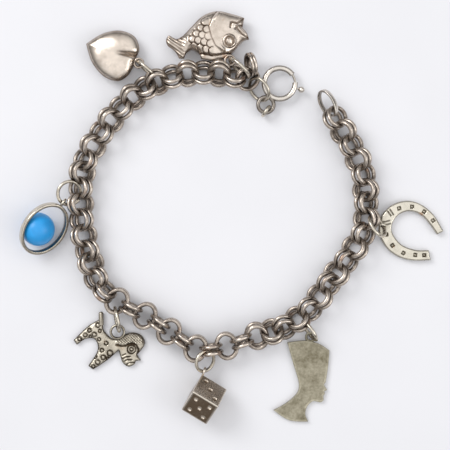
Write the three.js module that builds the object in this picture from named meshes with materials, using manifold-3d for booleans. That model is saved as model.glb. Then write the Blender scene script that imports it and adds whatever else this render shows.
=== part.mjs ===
// A silver double-link charm bracelet, unfastened and lying in an open ring on a table.
// Units are millimetres, +Z is up, the table is z = 0 and the middle of the outline is at the origin.
// The chain is 51 double links, each a pair of slightly oval rings leaning 45 degrees, first to one
// side and then to the other. A bolt ring clasp closes on a flat oval loop, and seven charms hang on
// jump rings: a puffed heart, a puffed fish, a horseshoe, a flat bust, a die, a poodle and a bead.
import * as THREE from 'three';
import { mergeVertices } from 'three/addons/utils/BufferGeometryUtils.js';
import Module from 'manifold-3d';

const wasm = await Module();
wasm.setup();

// ---- Driving dimensions -------------------------------------------------------------------
// Every place below is read from the bracelet's own layout, which is moved by this much at the end.
const LAYOUT_SHIFT = { x: -0.05, y: -0.13 };

const LINK = { count: 51, halfLength: 2.07, halfWidth: 2.55, wire: 0.84, spacing: 1.42, lean: 45 };
const LINK_SIDES = { along: 10, around: 4 };
// Links in each stretch of chain: within one they are joined where they hook.
const STRETCH_LINKS = [6, 6, 5, 8, 7, 6, 7, 6];
// How much nearer two links lie where one stretch hooks loosely into the next.
const SLACK = 0.65;
// From one link to another the chain turns over by this angle, and lies this high.
const TWIST = { starts: 18, full: 20, ends: 29, gone: 31, roll: 45 };
const LINK_HEIGHT = { leaning: 2.85, twisted: 3.08 };

// The middle of the chain, from the end loop round to the clasp.
const CHAIN_ROUTE = [
  { x: 21.4, y: 20.9 }, { x: 24.7, y: 15.3 }, { x: 27.3, y: 9.2 }, { x: 27.9, y: 3.4 },
  { x: 27.6, y: -2.4 }, { x: 24.2, y: -8.3 }, { x: 20.0, y: -13.9 }, { x: 16.2, y: -19.0 },
  { x: 10.7, y: -22.9 }, { x: 4.7, y: -24.8 }, { x: -0.6, y: -26.6 }, { x: -6.9, y: -27.6 },
  { x: -12.7, y: -24.2 }, { x: -17.4, y: -21.0 }, { x: -23.0, y: -18.2 }, { x: -27.7, y: -14.4 },
  { x: -30.1, y: -8.3 }, { x: -31.5, y: -1.8 }, { x: -31.9, y: 5.1 }, { x: -31.0, y: 11.6 },
  { x: -27.6, y: 17.6 }, { x: -23.4, y: 23.0 }, { x: -18.2, y: 27.2 }, { x: -12.2, y: 29.7 },
  { x: -5.8, y: 30.4 }, { x: 0.4, y: 29.7 },
];

// Jump rings: the middle, the ring's radius and wire, how steeply it stands (90 is on edge) about
// its long direction, and which way that direction runs in plan.
const JUMP_RINGS = [
  { name: 'heart_ring', x: -18.15, y: 31.15, z: 3.2, radius: 2.35, wire: 0.4, stands: 87, runs: -41 },
  { name: 'fish_ring', x: 1.35, y: 31.15, z: 4.5, radius: 2.65, wire: 0.4, stands: 82, runs: -43 },
  { name: 'horseshoe_ring', x: 30.1, y: -1.65, z: 3.95, radius: 2.45, wire: 0.5, stands: 121, runs: -55 },
  { name: 'bust_ring', x: 16.05, y: -23.6, z: 3.0, radius: 2.35, wire: 0.45, stands: 79, runs: -55 },
  { name: 'die_ring', x: -5.8, y: -29.85, z: 4.25, radius: 2.2, wire: 0.5, stands: 38, runs: 68 },
  { name: 'dog_ring', x: -24.3, y: -21.25, z: 2.8, radius: 2.5, wire: 0.42, stands: 80, runs: -80 },
  { name: 'bead_ring', x: -34.1, y: 5.15, z: 3.86, radius: 2.5, wire: 0.38, stands: 27, runs: 59 },
  { name: 'clasp_link_ring', x: 5.5, y: 26.95, z: 2.3, radius: 2.6, wire: 0.42, stands: 54, runs: -53 },
  { name: 'clasp_small_ring', x: 7.0, y: 22.45, z: 1.6, radius: 1.15, wire: 0.45, stands: 88, runs: 55 },
];
// Loose double links at the clasp: each a pair of round rings lying against each other.
const LOOSE_LINKS = [
  { name: 'last_link', x: 3.05, y: 29.15, z: 2.6, radius: 2.3, wire: 0.6, stands: 30, runs: 31 },
  { name: 'spare_link', x: 3.75, y: 32.0, z: 3.6, radius: 2.2, wire: 0.6, stands: 74, runs: -77 },
];
const LOOSE_SPACING = 0.5;

const CLASP = { x: 9.86, y: 28.26, z: 1.7, radius: 3.24, tube: 1.16, bore: 0.74, mouthFrom: 3, mouthTo: 35 };
const TRIGGER_SLOT = { from: -62, to: -6, width: 0.56 };
const BOLT = { wire: 0.52, from: -110, to: 42, knob: 1.35, knobAngle: -16, knobOut: 1.5, lug: 0.36 };
const CLASP_LOOP = { angle: 237, reach: 5.35, radius: 1.65, wire: 0.75 };

// The flat oval loop that the clasp hooks into.
const END_LOOP = {
  x: 19.85, y: 23.95, z: 2.9, halfLength: 3.1, halfWidth: 2.1, strip: 0.45, width: 1.0,
  stands: 50, runs: -63,
};

// Outlines in plan. A row marked corner breaks the curve there.
const HEART = {
  z: 2.15, halfThick: 2.1, lens: { x: -24.6, y: 34.6, along: 8.2 },
  tab: { x: -19.75, y: 32.45, z: 2.4, hole: 0.62, rim: 1.15, thick: 0.6 },
};
const HEART_OUTLINE = [
  { x: -30.8, y: 36.5, corner: true }, { x: -27.4, y: 38.6 }, { x: -23.8, y: 39.3 },
  { x: -20.7, y: 38.1 }, { x: -19.6, y: 35.5 }, { x: -20.3, y: 33.7, corner: true },
  { x: -20.7, y: 32.2 }, { x: -21.9, y: 30.0 }, { x: -24.1, y: 28.7 }, { x: -27.1, y: 29.7 },
  { x: -29.6, y: 32.7 },
];
const FISH = {
  z: 2.3, halfThick: 2.2, lens: { x: -3.4, y: 38.4, along: 10.5, across: 6.6 },
  bail: { x: -0.63, y: 32.95, z: 3.12, radius: 1.0, wire: 0.34 },
};
const FISH_OUTLINE = [
  { x: 3.4, y: 37.4, corner: true }, { x: 2.9, y: 38.8 }, { x: 2.0, y: 39.8, corner: true },
  { x: 2.4, y: 41.9, corner: true }, { x: -0.2, y: 42.7 }, { x: -3.3, y: 43.3 },
  { x: -6.3, y: 42.3 }, { x: -8.7, y: 40.0 }, { x: -10.3, y: 38.3 }, { x: -11.6, y: 37.5 },
  { x: -12.6, y: 37.8 }, { x: -13.4, y: 38.2 }, { x: -14.0, y: 37.3 }, { x: -13.7, y: 36.1 },
  { x: -12.6, y: 35.3 }, { x: -11.9, y: 34.5 }, { x: -11.3, y: 33.4, corner: true },
  { x: -10.3, y: 33.3, corner: true }, { x: -9.7, y: 34.5 }, { x: -8.5, y: 35.2 },
  { x: -7.0, y: 34.3, corner: true },
  { x: -6.6, y: 33.3, corner: true }, { x: -3.5, y: 32.9 }, { x: -0.9, y: 33.6, corner: true },
  { x: 1.0, y: 35.8 }, { x: 2.2, y: 37.0 },
];
const HORSESHOE = {
  thick: 1.5,
  bail: { x: 31.4, y: -1.4, z: 1.95, radius: 0.8, wire: 0.45, runs: -17 },
};
const HORSESHOE_OUTLINE = [
  { x: 44.4, y: -2.8, corner: true }, { x: 42.3, y: 0.7 }, { x: 39.4, y: 3.0 }, { x: 36.4, y: 3.6 },
  { x: 33.4, y: 2.6 }, { x: 31.2, y: 0.1 }, { x: 30.8, y: -3.0 }, { x: 32.3, y: -6.2 },
  { x: 34.9, y: -8.2 }, { x: 38.0, y: -9.0 }, { x: 41.7, y: -8.9, corner: true },
  { x: 41.3, y: -6.8, corner: true }, { x: 38.3, y: -6.7 }, { x: 35.3, y: -5.4 },
  { x: 33.5, y: -2.6 }, { x: 34.4, y: 0.1 }, { x: 37.0, y: 1.4 }, { x: 40.0, y: 0.4 },
  { x: 43.1, y: -3.5, corner: true },
];
const BUST = { thick: 0.9, bail: { x: 16.4, y: -25.1, z: 1.0, radius: 0.95, wire: 0.5, tilt: 20 } };
const BUST_OUTLINE = [
  { x: 11.5, y: -26.3, corner: true }, { x: 15.4, y: -25.9 }, { x: 18.2, y: -26.6 },
  { x: 20.4, y: -28.0, corner: true }, { x: 20.1, y: -31.4 }, { x: 19.6, y: -34.7, corner: true },
  { x: 19.3, y: -35.2 }, { x: 19.9, y: -36.3, corner: true }, { x: 19.3, y: -36.6, corner: true },
  { x: 19.4, y: -37.1 }, { x: 19.1, y: -37.5, corner: true }, { x: 19.1, y: -38.5 },
  { x: 18.4, y: -38.9 }, { x: 16.9, y: -38.7 }, { x: 15.7, y: -39.8 }, { x: 15.3, y: -41.4 },
  { x: 15.9, y: -43.0, corner: true }, { x: 11.9, y: -42.7 }, { x: 8.6, y: -40.6, corner: true },
  { x: 11.4, y: -39.0 }, { x: 13.6, y: -36.9 }, { x: 13.9, y: -34.7 }, { x: 12.8, y: -30.9 },
];
const DIE = {
  edge: 6.1, tilt: 35, x: -5.6, y: -37.18, runs: -31.1,
  bail: { x: -6.05, y: -32.05, z: 3.75, radius: 0.75, wire: 0.45, runs: 70 },
};
const DOG = {
  thick: 1.5, tail: { x1: -27.8, y1: -19.8, x2: -27.75, y2: -22.4, wire: 1.1 },
  bail: { x: -24.3, y: -24.0, z: 1.3, radius: 1.4, wire: 0.5 },
};
const DOG_OUTLINE = [
  { x: -28.2, y: -21.5, corner: true }, { x: -30.5, y: -22.8 }, { x: -33.6, y: -25.8, corner: true },
  { x: -32.9, y: -26.8, corner: true }, { x: -31.2, y: -25.6 }, { x: -29.3, y: -25.5 },
  { x: -28.5, y: -27.0 }, { x: -28.8, y: -28.6 }, { x: -30.5, y: -31.2, corner: true },
  { x: -29.5, y: -32.0, corner: true }, { x: -26.6, y: -30.1 }, { x: -24.1, y: -28.0, corner: true },
  { x: -23.7, y: -29.3 }, { x: -23.2, y: -30.6 }, { x: -22.0, y: -31.4 }, { x: -20.8, y: -30.9 },
  { x: -20.4, y: -30.2 }, { x: -19.4, y: -30.1, corner: true }, { x: -20.2, y: -28.9, corner: true },
  { x: -18.6, y: -26.7 }, { x: -19.2, y: -24.9 }, { x: -20.9, y: -24.2 }, { x: -22.6, y: -24.5 },
  { x: -24.0, y: -25.4, corner: true }, { x: -25.6, y: -25.4 }, { x: -27.3, y: -23.6 },
  { x: -27.3, y: -21.8, corner: true },
];
const BEAD = { x: -40.7, y: -2.37, z: 3.52, radius: 3.5, hole: 0.45, peg: 0.3 };
// The pin that holds the bead: its direction in the band's plane, how far below that it lies, and how
// far from the bead's middle it starts and ends.
const PEG = { angle: 95, level: -0.45, inside: 0.4, outside: 4.1 };
const BEAD_FRAME = {
  x: -39.3, y: -2.27, z: 4.1, halfLength: 5.95, halfWidth: 4.9, band: 0.7, height: 1.3,
  runs: 54, tilt: 38, bail: { reach: 6.75, radius: 0.75, wire: 0.45 },
};

// ---- Solids -------------------------------------------------------------------------------
const degrees = THREE.MathUtils.degToRad;

function solidOf(geometry) {
  const bare = geometry.clone();
  bare.deleteAttribute('normal');
  bare.deleteAttribute('uv');
  const merged = mergeVertices(bare, 1e-4);
  return new wasm.Manifold(new wasm.Mesh({
    numProp: 3,
    vertProperties: merged.attributes.position.array,
    triVerts: new Uint32Array(merged.index.array),
  }));
}

function geometryOf(solid) {
  const mesh = solid.getMesh();
  const geometry = new THREE.BufferGeometry();
  geometry.setAttribute('position', new THREE.BufferAttribute(mesh.vertProperties, 3));
  geometry.setIndex(new THREE.BufferAttribute(mesh.triVerts, 1));
  geometry.computeVertexNormals();
  return geometry;
}

const joined = (geometries) => geometryOf(geometries.map(solidOf).reduce((all, one) => all.add(one)));

const placed = (geometry, matrix) => geometry.clone().applyMatrix4(matrix);

// An oval ring of round wire in the XY plane, its long way along X if halfLength is the larger.
function ovalRing(halfLength, halfWidth, wireRadius, along, around) {
  const radius = (halfLength + halfWidth) / 2;
  const geometry = new THREE.TorusGeometry(radius, wireRadius, around, along);
  const position = geometry.attributes.position;
  for (let i = 0; i < position.count; i += 1) {
    const x = position.getX(i);
    const y = position.getY(i);
    const out = Math.hypot(x, y);
    position.setX(i, x + ((halfLength - radius) * x) / out);
    position.setY(i, y + ((halfWidth - radius) * y) / out);
  }
  return geometry;
}

// The matrix that puts a shape's X, Y and Z along three directions at a place.
function frameAt(place, xAxis, yAxis, zAxis) {
  return new THREE.Matrix4().makeBasis(xAxis, yAxis, zAxis).setPosition(place);
}

// Lays a ring so that it stands at an angle to the table about a direction in plan.
function standingAt(place, stands, runs) {
  const turn = new THREE.Matrix4().makeRotationZ(degrees(runs));
  const lift = new THREE.Matrix4().makeRotationX(degrees(stands));
  return new THREE.Matrix4().makeTranslation(place.x, place.y, place.z).multiply(turn).multiply(lift);
}

// ---- The chain ----------------------------------------------------------------------------
const route = new THREE.CatmullRomCurve3(CHAIN_ROUTE.map((p) => new THREE.Vector3(p.x, p.y, 0)));
route.arcLengthDivisions = 2000;

const smoothStep = (from, to, value) => THREE.MathUtils.smoothstep(value, from, to);

function twistAt(number) {
  return smoothStep(TWIST.starts, TWIST.full, number) - smoothStep(TWIST.ends, TWIST.gone, number);
}

// How far along the route each link's middle lies: evenly, but nearer by SLACK between stretches.
function linkDistances() {
  const total = route.getLength();
  const pitch = (total + SLACK * (STRETCH_LINKS.length - 1)) / (LINK.count - 1);
  const distances = [0];
  for (const links of STRETCH_LINKS) {
    for (let i = 0; i < links && distances.length < LINK.count; i += 1) {
      const last = i === links - 1;
      distances.push(distances[distances.length - 1] + pitch - (last ? SLACK : 0));
    }
  }
  return distances.map((distance) => Math.min(distance / total, 1));
}

// The two rings of one link. Odd links have the side towards the middle of the bracelet up.
function linkRings(number, share) {
  const middle = route.getPointAt(share);
  const tangent = route.getTangentAt(share);
  const up = new THREE.Vector3(0, 0, 1);
  const outward = new THREE.Vector3().crossVectors(up, tangent);
  const twist = twistAt(number);
  middle.z = THREE.MathUtils.lerp(LINK_HEIGHT.leaning, LINK_HEIGHT.twisted, twist);
  const odd = number % 2 === 1;
  const lean = degrees((odd ? -LINK.lean : LINK.lean) + TWIST.roll * twist);
  const across = outward.clone().multiplyScalar(Math.cos(lean)).addScaledVector(up, Math.sin(lean));
  const axis = new THREE.Vector3().crossVectors(tangent, across);
  const ring = ovalRing(
    LINK.halfLength, LINK.halfWidth, LINK.wire / 2, LINK_SIDES.along, LINK_SIDES.around,
  );
  return [-1, 1].map((side) => {
    const place = middle.clone().addScaledVector(axis, (side * LINK.spacing) / 2);
    return placed(ring, frameAt(place, tangent, across, axis));
  });
}

function chainStretches() {
  const shares = linkDistances();
  let first = 0;
  return STRETCH_LINKS.map((links) => {
    const rings = shares.slice(first, first + links).flatMap((s, i) => linkRings(first + i + 1, s));
    first += links;
    return joined(rings);
  });
}

// ---- Fittings -----------------------------------------------------------------------------
const CLOCKWISE = false;

// Round wire bent along an arc about +Z, from one angle to another, in degrees.
function arcWire(radius, wireRadius, from, to, sides, steps) {
  const points = Array.from({ length: steps + 1 }, (_, i) => {
    const angle = degrees(from + ((to - from) * i) / steps);
    return new THREE.Vector3(radius * Math.cos(angle), radius * Math.sin(angle), 0);
  });
  const section = new THREE.Shape(Array.from({ length: sides }, (_, i) => {
    const angle = (2 * Math.PI * i) / sides;
    return new THREE.Vector2(wireRadius * Math.cos(angle), wireRadius * Math.sin(angle));
  }));
  const path = new THREE.CatmullRomCurve3(points);
  return new THREE.ExtrudeGeometry(section, { steps, extrudePath: path, bevelEnabled: false });
}

// A flat sector of a ring about +Z, centred on z = 0.
function sector(inner, outer, from, to, height) {
  const shape = new THREE.Shape();
  shape.absarc(0, 0, outer, degrees(from), degrees(to), CLOCKWISE);
  shape.absarc(0, 0, inner, degrees(to), degrees(from), !CLOCKWISE);
  const solid = new THREE.ExtrudeGeometry(shape, { depth: height, bevelEnabled: false, curveSegments: 8 });
  return solid.translate(0, 0, -height / 2);
}

function around(radius, angle) {
  return { x: radius * Math.cos(degrees(angle)), y: radius * Math.sin(degrees(angle)) };
}

const CLASP_STEPS = 26;

// The hollow ring of the clasp, with its mouth, its bore, the trigger's slot and its soldered loop.
function claspRing() {
  const tube = arcWire(
    CLASP.radius, CLASP.tube / 2, CLASP.mouthTo, CLASP.mouthFrom + 360, 8, CLASP_STEPS,
  );
  const bore = arcWire(
    CLASP.radius, CLASP.bore / 2, CLASP.mouthTo - 4, CLASP.mouthFrom + 364, 8, CLASP_STEPS,
  );
  const at = around(CLASP_LOOP.reach, CLASP_LOOP.angle);
  const loop = ovalRing(CLASP_LOOP.radius, CLASP_LOOP.radius, CLASP_LOOP.wire / 2, 14, 6);
  loop.translate(at.x, at.y, 0);
  const slot = sector(
    CLASP.radius, CLASP.radius + CLASP.tube, TRIGGER_SLOT.from, TRIGGER_SLOT.to, TRIGGER_SLOT.width,
  );
  const body = solidOf(tube).add(solidOf(loop)).subtract(solidOf(bore)).subtract(solidOf(slot));
  return geometryOf(body).translate(CLASP.x, CLASP.y, CLASP.z);
}

// The spring bolt: a wire in the clasp's bore, with a lug through the slot to its round trigger.
function claspBolt() {
  const wire = arcWire(CLASP.radius, BOLT.wire / 2, BOLT.from, BOLT.to, 8, 14);
  const knobAt = around(CLASP.radius + BOLT.knobOut, BOLT.knobAngle);
  const knob = new THREE.SphereGeometry(BOLT.knob / 2, 10, 8).rotateX(Math.PI / 2);
  knob.translate(knobAt.x, knobAt.y, 0);
  const lug = new THREE.CylinderGeometry(BOLT.lug / 2, BOLT.lug / 2, BOLT.knobOut, 8);
  lug.rotateZ(degrees(BOLT.knobAngle) - Math.PI / 2);
  const lugAt = around(CLASP.radius + BOLT.knobOut / 2, BOLT.knobAngle);
  lug.translate(lugAt.x, lugAt.y, 0);
  return joined([wire, lug, knob]).translate(CLASP.x, CLASP.y, CLASP.z);
}

// A band of flat strip bent to an oval, standing at an angle to the table.
function bandRing(halfLength, halfWidth, strip, height) {
  const shape = new THREE.Shape();
  shape.absellipse(0, 0, halfLength, halfWidth, 0, 2 * Math.PI, CLOCKWISE);
  const hole = new THREE.Path();
  hole.absellipse(0, 0, halfLength - strip, halfWidth - strip, 0, 2 * Math.PI, !CLOCKWISE);
  shape.holes.push(hole);
  const options = { depth: height, bevelEnabled: false, curveSegments: 18 };
  return new THREE.ExtrudeGeometry(shape, options).translate(0, 0, -height / 2);
}

function endLoop() {
  const band = bandRing(END_LOOP.halfLength, END_LOOP.halfWidth, END_LOOP.strip, END_LOOP.width);
  return placed(band, standingAt(END_LOOP, END_LOOP.stands, END_LOOP.runs));
}

// ---- Charms -------------------------------------------------------------------------------
// A closed outline through its rows: a smooth curve between corners, a few steps to each row.
function outline(rows, steps) {
  const start = rows.findIndex((row) => row.corner);
  const turned = [...rows.slice(start), ...rows.slice(0, start), rows[start]];
  const points = [];
  let run = [turned[0]];
  for (const row of turned.slice(1)) {
    run.push(row);
    if (row.corner) {
      const curve = new THREE.SplineCurve(run.map((p) => new THREE.Vector2(p.x, p.y)));
      const count = run.length === 2 ? 1 : (run.length - 1) * steps;
      points.push(...curve.getPoints(count).slice(0, -1));
      run = [row];
    }
  }
  return new THREE.Shape(points);
}

const OUTLINE_STEPS = 2;

function plate(rows, from, to) {
  const shape = outline(rows, OUTLINE_STEPS);
  return new THREE.ExtrudeGeometry(shape, { depth: to - from, bevelEnabled: false }).translate(0, 0, from);
}

// The outline cut from a lens: full in the middle and thin at its edge.
function puffed(rows, z, halfThick, lens) {
  const across = lens.across ?? lens.along;
  const ball = new THREE.SphereGeometry(1, 18, 12).rotateX(Math.PI / 2);
  ball.scale(lens.along, across, halfThick).translate(lens.x, lens.y, z);
  return solidOf(plate(rows, z - halfThick, z + halfThick)).intersect(solidOf(ball));
}

const flatRing = (bail) => ovalRing(bail.radius, bail.radius, bail.wire / 2, 12, 6)
  .translate(bail.x, bail.y, bail.z);

function standingRing(bail, stands, runs) {
  const ring = ovalRing(bail.radius, bail.radius, bail.wire / 2, 12, 6);
  return placed(ring, standingAt(bail, stands, runs));
}

function heart() {
  const { tab } = HEART;
  const shape = new THREE.Shape().absarc(tab.x, tab.y, tab.rim, 0, 2 * Math.PI, CLOCKWISE);
  shape.holes.push(new THREE.Path().absarc(tab.x, tab.y, tab.hole, 0, 2 * Math.PI, !CLOCKWISE));
  const lug = new THREE.ExtrudeGeometry(shape, { depth: tab.thick, bevelEnabled: false, curveSegments: 8 });
  lug.translate(0, 0, tab.z - tab.thick / 2);
  const hole = new THREE.CylinderGeometry(tab.hole, tab.hole, 4 * HEART.halfThick, 16).rotateX(Math.PI / 2);
  hole.translate(tab.x, tab.y, tab.z);
  const body = puffed(HEART_OUTLINE, HEART.z, HEART.halfThick, HEART.lens);
  return geometryOf(body.add(solidOf(lug)).subtract(solidOf(hole)));
}

function fish() {
  const body = puffed(FISH_OUTLINE, FISH.z, FISH.halfThick, FISH.lens);
  return geometryOf(body.add(solidOf(flatRing(FISH.bail))));
}

function horseshoe() {
  const { bail } = HORSESHOE;
  const shoe = plate(HORSESHOE_OUTLINE, 0, HORSESHOE.thick);
  return joined([shoe, standingRing(bail, 90, bail.runs)]);
}

function bust() {
  return joined([plate(BUST_OUTLINE, 0, BUST.thick), standingRing(BUST.bail, BUST.bail.tilt, 0)]);
}

// The die hangs by a corner, so it leans back: two faces show, and it stands on an edge.
function die() {
  const { edge, bail } = DIE;
  const cube = new THREE.BoxGeometry(edge, edge, edge);
  cube.rotateX(degrees(DIE.tilt)).rotateZ(degrees(DIE.runs));
  const tilt = degrees(DIE.tilt);
  const ahead = (edge / 2) * (Math.cos(tilt) - Math.sin(tilt));
  const height = (edge / 2) * (Math.cos(tilt) + Math.sin(tilt));
  const along = degrees(DIE.runs);
  cube.translate(DIE.x + ahead * Math.sin(along), DIE.y - ahead * Math.cos(along), height);
  return joined([cube, standingRing(bail, 90, bail.runs)]);
}

function dog() {
  const { tail, bail, thick } = DOG;
  const length = Math.hypot(tail.x2 - tail.x1, tail.y2 - tail.y1);
  const rod = new THREE.CylinderGeometry(tail.wire / 2, tail.wire / 2, length, 8);
  rod.rotateZ(Math.atan2(tail.y2 - tail.y1, tail.x2 - tail.x1) - Math.PI / 2);
  rod.translate((tail.x1 + tail.x2) / 2, (tail.y1 + tail.y2) / 2, thick / 2);
  return joined([plate(DOG_OUTLINE, 0, thick), rod, flatRing(bail)]);
}

const beadCentre = new THREE.Vector3(BEAD.x, BEAD.y, BEAD.z);
const beadFrameAt = standingAt(BEAD_FRAME, BEAD_FRAME.tilt, BEAD_FRAME.runs);

// A straight rod on the line from the bead's middle to the band, between two distances from there.
function pegTo(radius, from, to) {
  const inFrame = beadCentre.clone().applyMatrix4(beadFrameAt.clone().invert());
  const angle = degrees(PEG.angle);
  const rod = new THREE.CylinderGeometry(radius, radius, to - from, 8).rotateZ(angle - Math.PI / 2);
  const out = (from + to) / 2;
  rod.translate(inFrame.x + out * Math.cos(angle), inFrame.y + out * Math.sin(angle), PEG.level);
  return placed(rod, beadFrameAt);
}

function beadFrame() {
  const band = placed(
    bandRing(BEAD_FRAME.halfLength, BEAD_FRAME.halfWidth, BEAD_FRAME.band, BEAD_FRAME.height), beadFrameAt,
  );
  const along = degrees(BEAD_FRAME.runs);
  const { reach, radius, wire } = BEAD_FRAME.bail;
  const bail = {
    x: BEAD_FRAME.x + reach * Math.cos(along), y: BEAD_FRAME.y + reach * Math.sin(along),
    z: BEAD_FRAME.z, radius, wire,
  };
  const pin = pegTo(BEAD.peg, PEG.inside, PEG.outside);
  return joined([band, standingRing(bail, 90, BEAD_FRAME.runs), pin]);
}

function bead() {
  const ball = new THREE.SphereGeometry(BEAD.radius, 20, 12).translate(BEAD.x, BEAD.y, BEAD.z);
  return geometryOf(solidOf(ball).subtract(solidOf(pegTo(BEAD.hole, 0, 2 * BEAD.radius))));
}

// ---- Assembly -----------------------------------------------------------------------------
const silver = { color: 0xb8ab98, roughness: 0.35, metalness: 1 };
const darkSilver = { color: 0x7a6f60, roughness: 0.45, metalness: 1 };
const frosted = { color: 0xa9a28c, roughness: 0.6, metalness: 0.9 };
const blue = { color: 0x2fa4ea, roughness: 0.35, metalness: 0 };
const group = new THREE.Group();

function addPiece(name, geometry, finish) {
  const mesh = new THREE.Mesh(geometry, new THREE.MeshStandardMaterial(finish));
  mesh.name = name;
  group.add(mesh);
}

chainStretches().forEach((stretch, i) => addPiece(`chain_${i + 1}`, stretch, silver));
for (const ring of JUMP_RINGS) {
  const shape = ovalRing(ring.radius, ring.radius, ring.wire / 2, 14, 5);
  addPiece(ring.name, placed(shape, standingAt(ring, ring.stands, ring.runs)), silver);
}
for (const link of LOOSE_LINKS) {
  const ring = ovalRing(link.radius, link.radius, link.wire / 2, 12, 6);
  const pair = [-1, 1].map((side) => ring.clone().translate(0, 0, (side * LOOSE_SPACING) / 2));
  addPiece(link.name, placed(joined(pair), standingAt(link, link.stands, link.runs)), silver);
}
addPiece('clasp_ring', claspRing(), silver);
addPiece('clasp_bolt', claspBolt(), silver);
addPiece('end_loop', endLoop(), silver);
addPiece('heart', heart(), silver);
addPiece('fish', fish(), silver);
addPiece('horseshoe', horseshoe(), silver);
addPiece('bust', bust(), frosted);
addPiece('die', die(), darkSilver);
addPiece('dog', dog(), silver);
addPiece('bead_frame', beadFrame(), silver);
addPiece('bead', bead(), blue);
group.position.set(LAYOUT_SHIFT.x, LAYOUT_SHIFT.y, 0);

export default group;
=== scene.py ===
"""A silver double-link charm bracelet: what is seen of each piece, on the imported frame.

Lengths below are millimetres in the bracelet's own layout unless a name says otherwise.
"""
import math

import bpy
import numpy as np
from bpy.props import FloatProperty, FloatVectorProperty, PointerProperty
from mathutils import Matrix, Vector, geometry


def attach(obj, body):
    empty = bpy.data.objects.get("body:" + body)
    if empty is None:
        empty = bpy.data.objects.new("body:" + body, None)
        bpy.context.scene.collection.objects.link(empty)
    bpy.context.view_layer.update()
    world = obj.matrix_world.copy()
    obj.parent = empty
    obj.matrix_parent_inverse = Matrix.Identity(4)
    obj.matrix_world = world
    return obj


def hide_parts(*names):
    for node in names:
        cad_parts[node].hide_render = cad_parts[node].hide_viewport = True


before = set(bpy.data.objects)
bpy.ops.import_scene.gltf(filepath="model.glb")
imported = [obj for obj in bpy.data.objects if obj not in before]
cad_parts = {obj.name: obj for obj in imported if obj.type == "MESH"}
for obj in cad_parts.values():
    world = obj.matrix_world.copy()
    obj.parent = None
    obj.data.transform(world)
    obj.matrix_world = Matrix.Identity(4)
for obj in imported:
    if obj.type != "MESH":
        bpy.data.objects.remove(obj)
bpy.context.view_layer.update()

bl_info = {
    "name": "Charm bracelet",
    "version": (1, 0, 0),
    "blender": (4, 5, 0),
    "location": "3D View > Sidebar > Bracelet",
    "description": "Builds a silver double-link charm bracelet and the table it lies on",
    "category": "Add Mesh",
}

MM = 0.001
# The layout's zero is this far from the frame's origin.
LAYOUT_SHIFT = (-0.05, -0.13, 0.0)

# ---- The chain -------------------------------------------------------------------------------
CHAIN_ROUTE = [
    (21.4, 20.9), (24.7, 15.3), (27.3, 9.2), (27.9, 3.4), (27.6, -2.4), (24.2, -8.3),
    (20.0, -13.9), (16.2, -19.0), (10.7, -22.9), (4.7, -24.8), (-0.6, -26.6), (-6.9, -27.6),
    (-12.7, -24.2), (-17.4, -21.0), (-23.0, -18.2), (-27.7, -14.4), (-30.1, -8.3), (-31.5, -1.8),
    (-31.9, 5.1), (-31.0, 11.6), (-27.6, 17.6), (-23.4, 23.0), (-18.2, 27.2), (-12.2, 29.7),
    (-5.8, 30.4), (0.4, 29.7),
]
LINK_COUNT = 51
STRETCH_LINKS = [6, 6, 5, 8, 7, 6, 7, 6]
SLACK = 0.65
LEAN = 45
# The chain turns over by ROLL between these links, and its middle lies this high.
TWIST = {"starts": 18, "full": 20, "ends": 29, "gone": 31}
ROLL = 45
HEIGHT_LEANING, HEIGHT_TWISTED = 2.85, 3.08
# One ring of a link: half its length along the chain, and half its width.
LINK_HALF = (2.09, 2.56)
LINK_SPACING = 1.42
# Steps along and around the wire of a chain ring and of a jump ring.
LINK_STEPS, RING_STEPS = (44, 12), (56, 14)

# ---- Rings: name, x, y, z, radius, how it stands, which way it runs --------------------------
JUMP_RINGS = [
    ("heart_ring", -18.15, 31.15, 3.2, 2.35, 87, -41),
    ("fish_ring", 1.35, 31.15, 4.5, 2.65, 82, -43),
    ("horseshoe_ring", 30.1, -1.65, 3.95, 2.45, 121, -55),
    ("bust_ring", 16.05, -23.6, 3.0, 2.35, 79, -55),
    ("die_ring", -5.8, -29.85, 4.25, 2.2, 38, 68),
    ("dog_ring", -24.3, -21.25, 2.8, 2.5, 80, -80),
    ("bead_ring", -34.1, 5.15, 3.86, 2.5, 27, 59),
    ("clasp_link_ring", 5.5, 26.95, 2.3, 2.6, 54, -53),
    ("clasp_small_ring", 7.0, 22.45, 1.6, 1.15, 88, 55),
]
LOOSE_LINKS = [
    ("last_link", 3.05, 29.15, 2.6, 2.3, 30, 31),
    ("spare_link", 3.75, 32.0, 3.6, 2.2, 74, -77),
]
LOOSE_SPACING = 0.66

# ---- Clasp and end loop ----------------------------------------------------------------------
CLASP_AT = (9.86, 28.26, 1.7)
CLASP_RADIUS, CLASP_TUBE, CLASP_BORE = 3.24, 0.58, 0.37
CLASP_MOUTH = (35, 363)
TRIGGER_SLOT = (-62, -6)
SLOT_HALF_HEIGHT = 0.26
BOLT_WIRE = 0.26
BOLT_SPAN = (-110, 42)
KNOB_ANGLE, KNOB_OUT, KNOB_RADIUS, LUG_RADIUS = -16, 1.5, 0.675, 0.17
CLASP_LOOP = {"angle": 237, "reach": 5.35, "radius": 1.65, "wire": 0.42}
LOOP_TARNISH = 0.9
END_LOOP = {"at": (19.85, 23.95, 2.9), "half": (3.1, 2.1), "strip": 0.45, "width": 1.0,
            "stands": 50, "runs": -63}

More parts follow.
